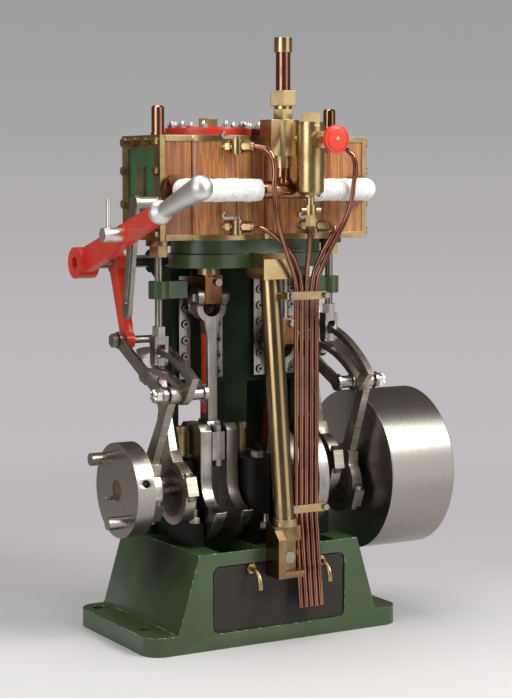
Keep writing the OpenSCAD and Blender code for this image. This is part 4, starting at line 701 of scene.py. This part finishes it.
def boxMask(w, coord, azimuth, half, s):
    # 1 inside a soft box, falling to 0 over its edges
    a = math.radians(azimuth)
    level = addNode(w, "VectorMath", {"operation": "MULTIPLY", 1: (1, 1, 0)}, {0: (coord, "Generated")})
    flat = addNode(w, "VectorMath", {"operation": "NORMALIZE"}, {0: level})
    along = addNode(w, "VectorMath", {"operation": "DOT_PRODUCT", 1: (math.cos(a), math.sin(a), 0)},
                    {0: flat})
    outer, inner = (math.cos(math.radians(half * edge)) for edge in s["boxEdge"])
    inside = addNode(w, "MapRange", {"From Min": outer, "From Max": inner}, {"Value": (along, "Value")})
    apart = addNode(w, "SeparateXYZ", {}, {"Vector": (coord, "Generated")})
    low, high, fade = s["boxLow"], s["boxHigh"], s["boxFade"]
    above = addNode(w, "MapRange", {"From Min": low - fade, "From Max": low}, {"Value": (apart, "Z")})
    below = addNode(w, "MapRange", {"From Min": high + fade, "From Max": high}, {"Value": (apart, "Z")})
    band = addNode(w, "Math", {"operation": "MULTIPLY"}, {0: above, 1: below})
    return addNode(w, "Math", {"operation": "MULTIPLY"}, {0: band, 1: inside})


def makeFloor(s):
    mesh = bpy.data.meshes.new("floor")
    turn = np.linspace(0, 2 * math.pi, s["sides"], endpoint=False)
    rim = [(s["radius"] * math.cos(a), s["radius"] * math.sin(a), 0) for a in turn]
    mesh.from_pydata(rim, [], [list(range(s["sides"]))])
    floor = bpy.data.objects.new("floor", mesh)
    bpy.context.scene.collection.objects.link(floor)
    m, t = newMaterial("paperFloor")
    coord = addNode(t, "TexCoord")
    depth = addNode(t, "VectorMath", {"operation": "DOT_PRODUCT", 1: s["away"]}, {0: (coord, "Object")})
    back = addNode(t, "MapRange", {"From Min": s["depth"][0], "From Max": s["depth"][1]},
                   {"Value": (depth, "Value")})
    # the paper's colour darkens towards the back: painted falloff of light
    paintedFalloffTone = addNode(t, "ValToRGB", {"stops": s["paintedFalloff"]}, {"Fac": back})
    paper = addNode(t, "BsdfPrincipled", {"Roughness": 0.9, "Specular IOR Level": 0.2},
                    {"Base Color": paintedFalloffTone})
    far = addNode(t, "VectorMath", {"operation": "LENGTH"}, {0: (coord, "Object")})
    out = addNode(t, "MapRange", {"From Min": 0.0, "From Max": s["radius"]}, {"Value": (far, "Value")})
    ownTone = addNode(t, "ValToRGB", {"stops": s["own"]}, {"Fac": out})
    own = addNode(t, "Emission", {}, {"Color": ownTone})
    edge = addNode(t, "MapRange", {"From Min": s["blend"][0], "From Max": s["blend"][1]},
                   {"Value": (far, "Value")})
    path = addNode(t, "LightPath")
    seen = addNode(t, "Math", {"operation": "MULTIPLY"}, {0: edge, 1: (path, "Is Camera Ray")})
    mixed = addNode(t, "MixShader", {}, {0: seen, 1: paper, 2: own})
    # metal sees the studio beyond the near floor
    clear = addNode(t, "BsdfTransparent")
    glossy = addNode(t, "Math", {"operation": "MULTIPLY"}, {0: edge, 1: (path, "Is Glossy Ray")})
    mixed = addNode(t, "MixShader", {}, {0: glossy, 1: mixed, 2: clear})
    addNode(t, "OutputMaterial", {}, {"Surface": mixed})
    mesh.materials.append(m)


def makeStudio(s):
    world = bpy.data.worlds.new("studio")
    bpy.context.scene.world = world
    world.use_nodes = True
    w = world.node_tree
    w.nodes.clear()
    coord = addNode(w, "TexCoord")
    apart = addNode(w, "SeparateXYZ", {}, {"Vector": (coord, "Generated")})
    rise = addNode(w, "MapRange", {"From Min": s["wallRise"][0], "From Max": s["wallRise"][1]},
                   {"Value": (apart, "Z")})
    wallTone = addNode(w, "ValToRGB", {"stops": s["wall"]}, {"Fac": rise})
    wall = addNode(w, "Background", {"Strength": 1.0}, {"Color": wallTone})
    lift = addNode(w, "MapRange", {"From Min": s["roomRise"][0], "From Max": s["roomRise"][1]},
                   {"Value": (apart, "Z")})
    domeTone = addNode(w, "ValToRGB", {"stops": s["dome"]}, {"Fac": lift})
    dome = addNode(w, "Background", {"Strength": s["ambient"]}, {"Color": domeTone})
    roomTone = addNode(w, "ValToRGB", {"stops": s["room"]}, {"Fac": lift})
    room = addNode(w, "Background", {"Strength": 1.0}, {"Color": roomTone})
    for azimuth, half, strength in s["boxes"]:
        box = addNode(w, "Background", {"Color": linear("#FFFFFF"), "Strength": strength})
        room = addNode(w, "MixShader", {}, {0: boxMask(w, coord, azimuth, half, s), 1: room, 2: box})
    path = addNode(w, "LightPath")
    shine = addNode(w, "MixShader", {}, {0: (path, "Is Glossy Ray"), 1: dome, 2: room})
    mixed = addNode(w, "MixShader", {}, {0: (path, "Is Camera Ray"), 1: shine, 2: wall})
    addNode(w, "OutputWorld", {}, {"Surface": mixed})


def addLamp(name, place, target, size, power):
    # a square soft box facing the target; power in watts
    data = bpy.data.lights.new(name, "AREA")
    data.size = size
    data.energy = power
    lamp = bpy.data.objects.new(name, data)
    bpy.context.scene.collection.objects.link(lamp)
    lamp.location = place
    way = np.array(target) - np.array(place)
    flat = math.hypot(way[0], way[1])
    lamp.rotation_euler = (math.atan2(flat, -way[2]), 0, math.atan2(way[1], way[0]) - math.pi / 2)


makeCamera(cameraSet)
makeFloor(stageSet)
makeStudio(stageSet)
addLamp("key", (0.75, -1.15, 1.35), (0, 0, 0.2), 0.9, 30)
addLamp("top", (-0.2, 0.0, 1.6), (0, 0, 0.25), 1.0, 13)
addLamp("fill", (-1.5, -0.6, 0.7), (0, 0, 0.2), 1.0, 6)
bpy.context.scene.view_settings.view_transform = "Standard"
print("stage ready")
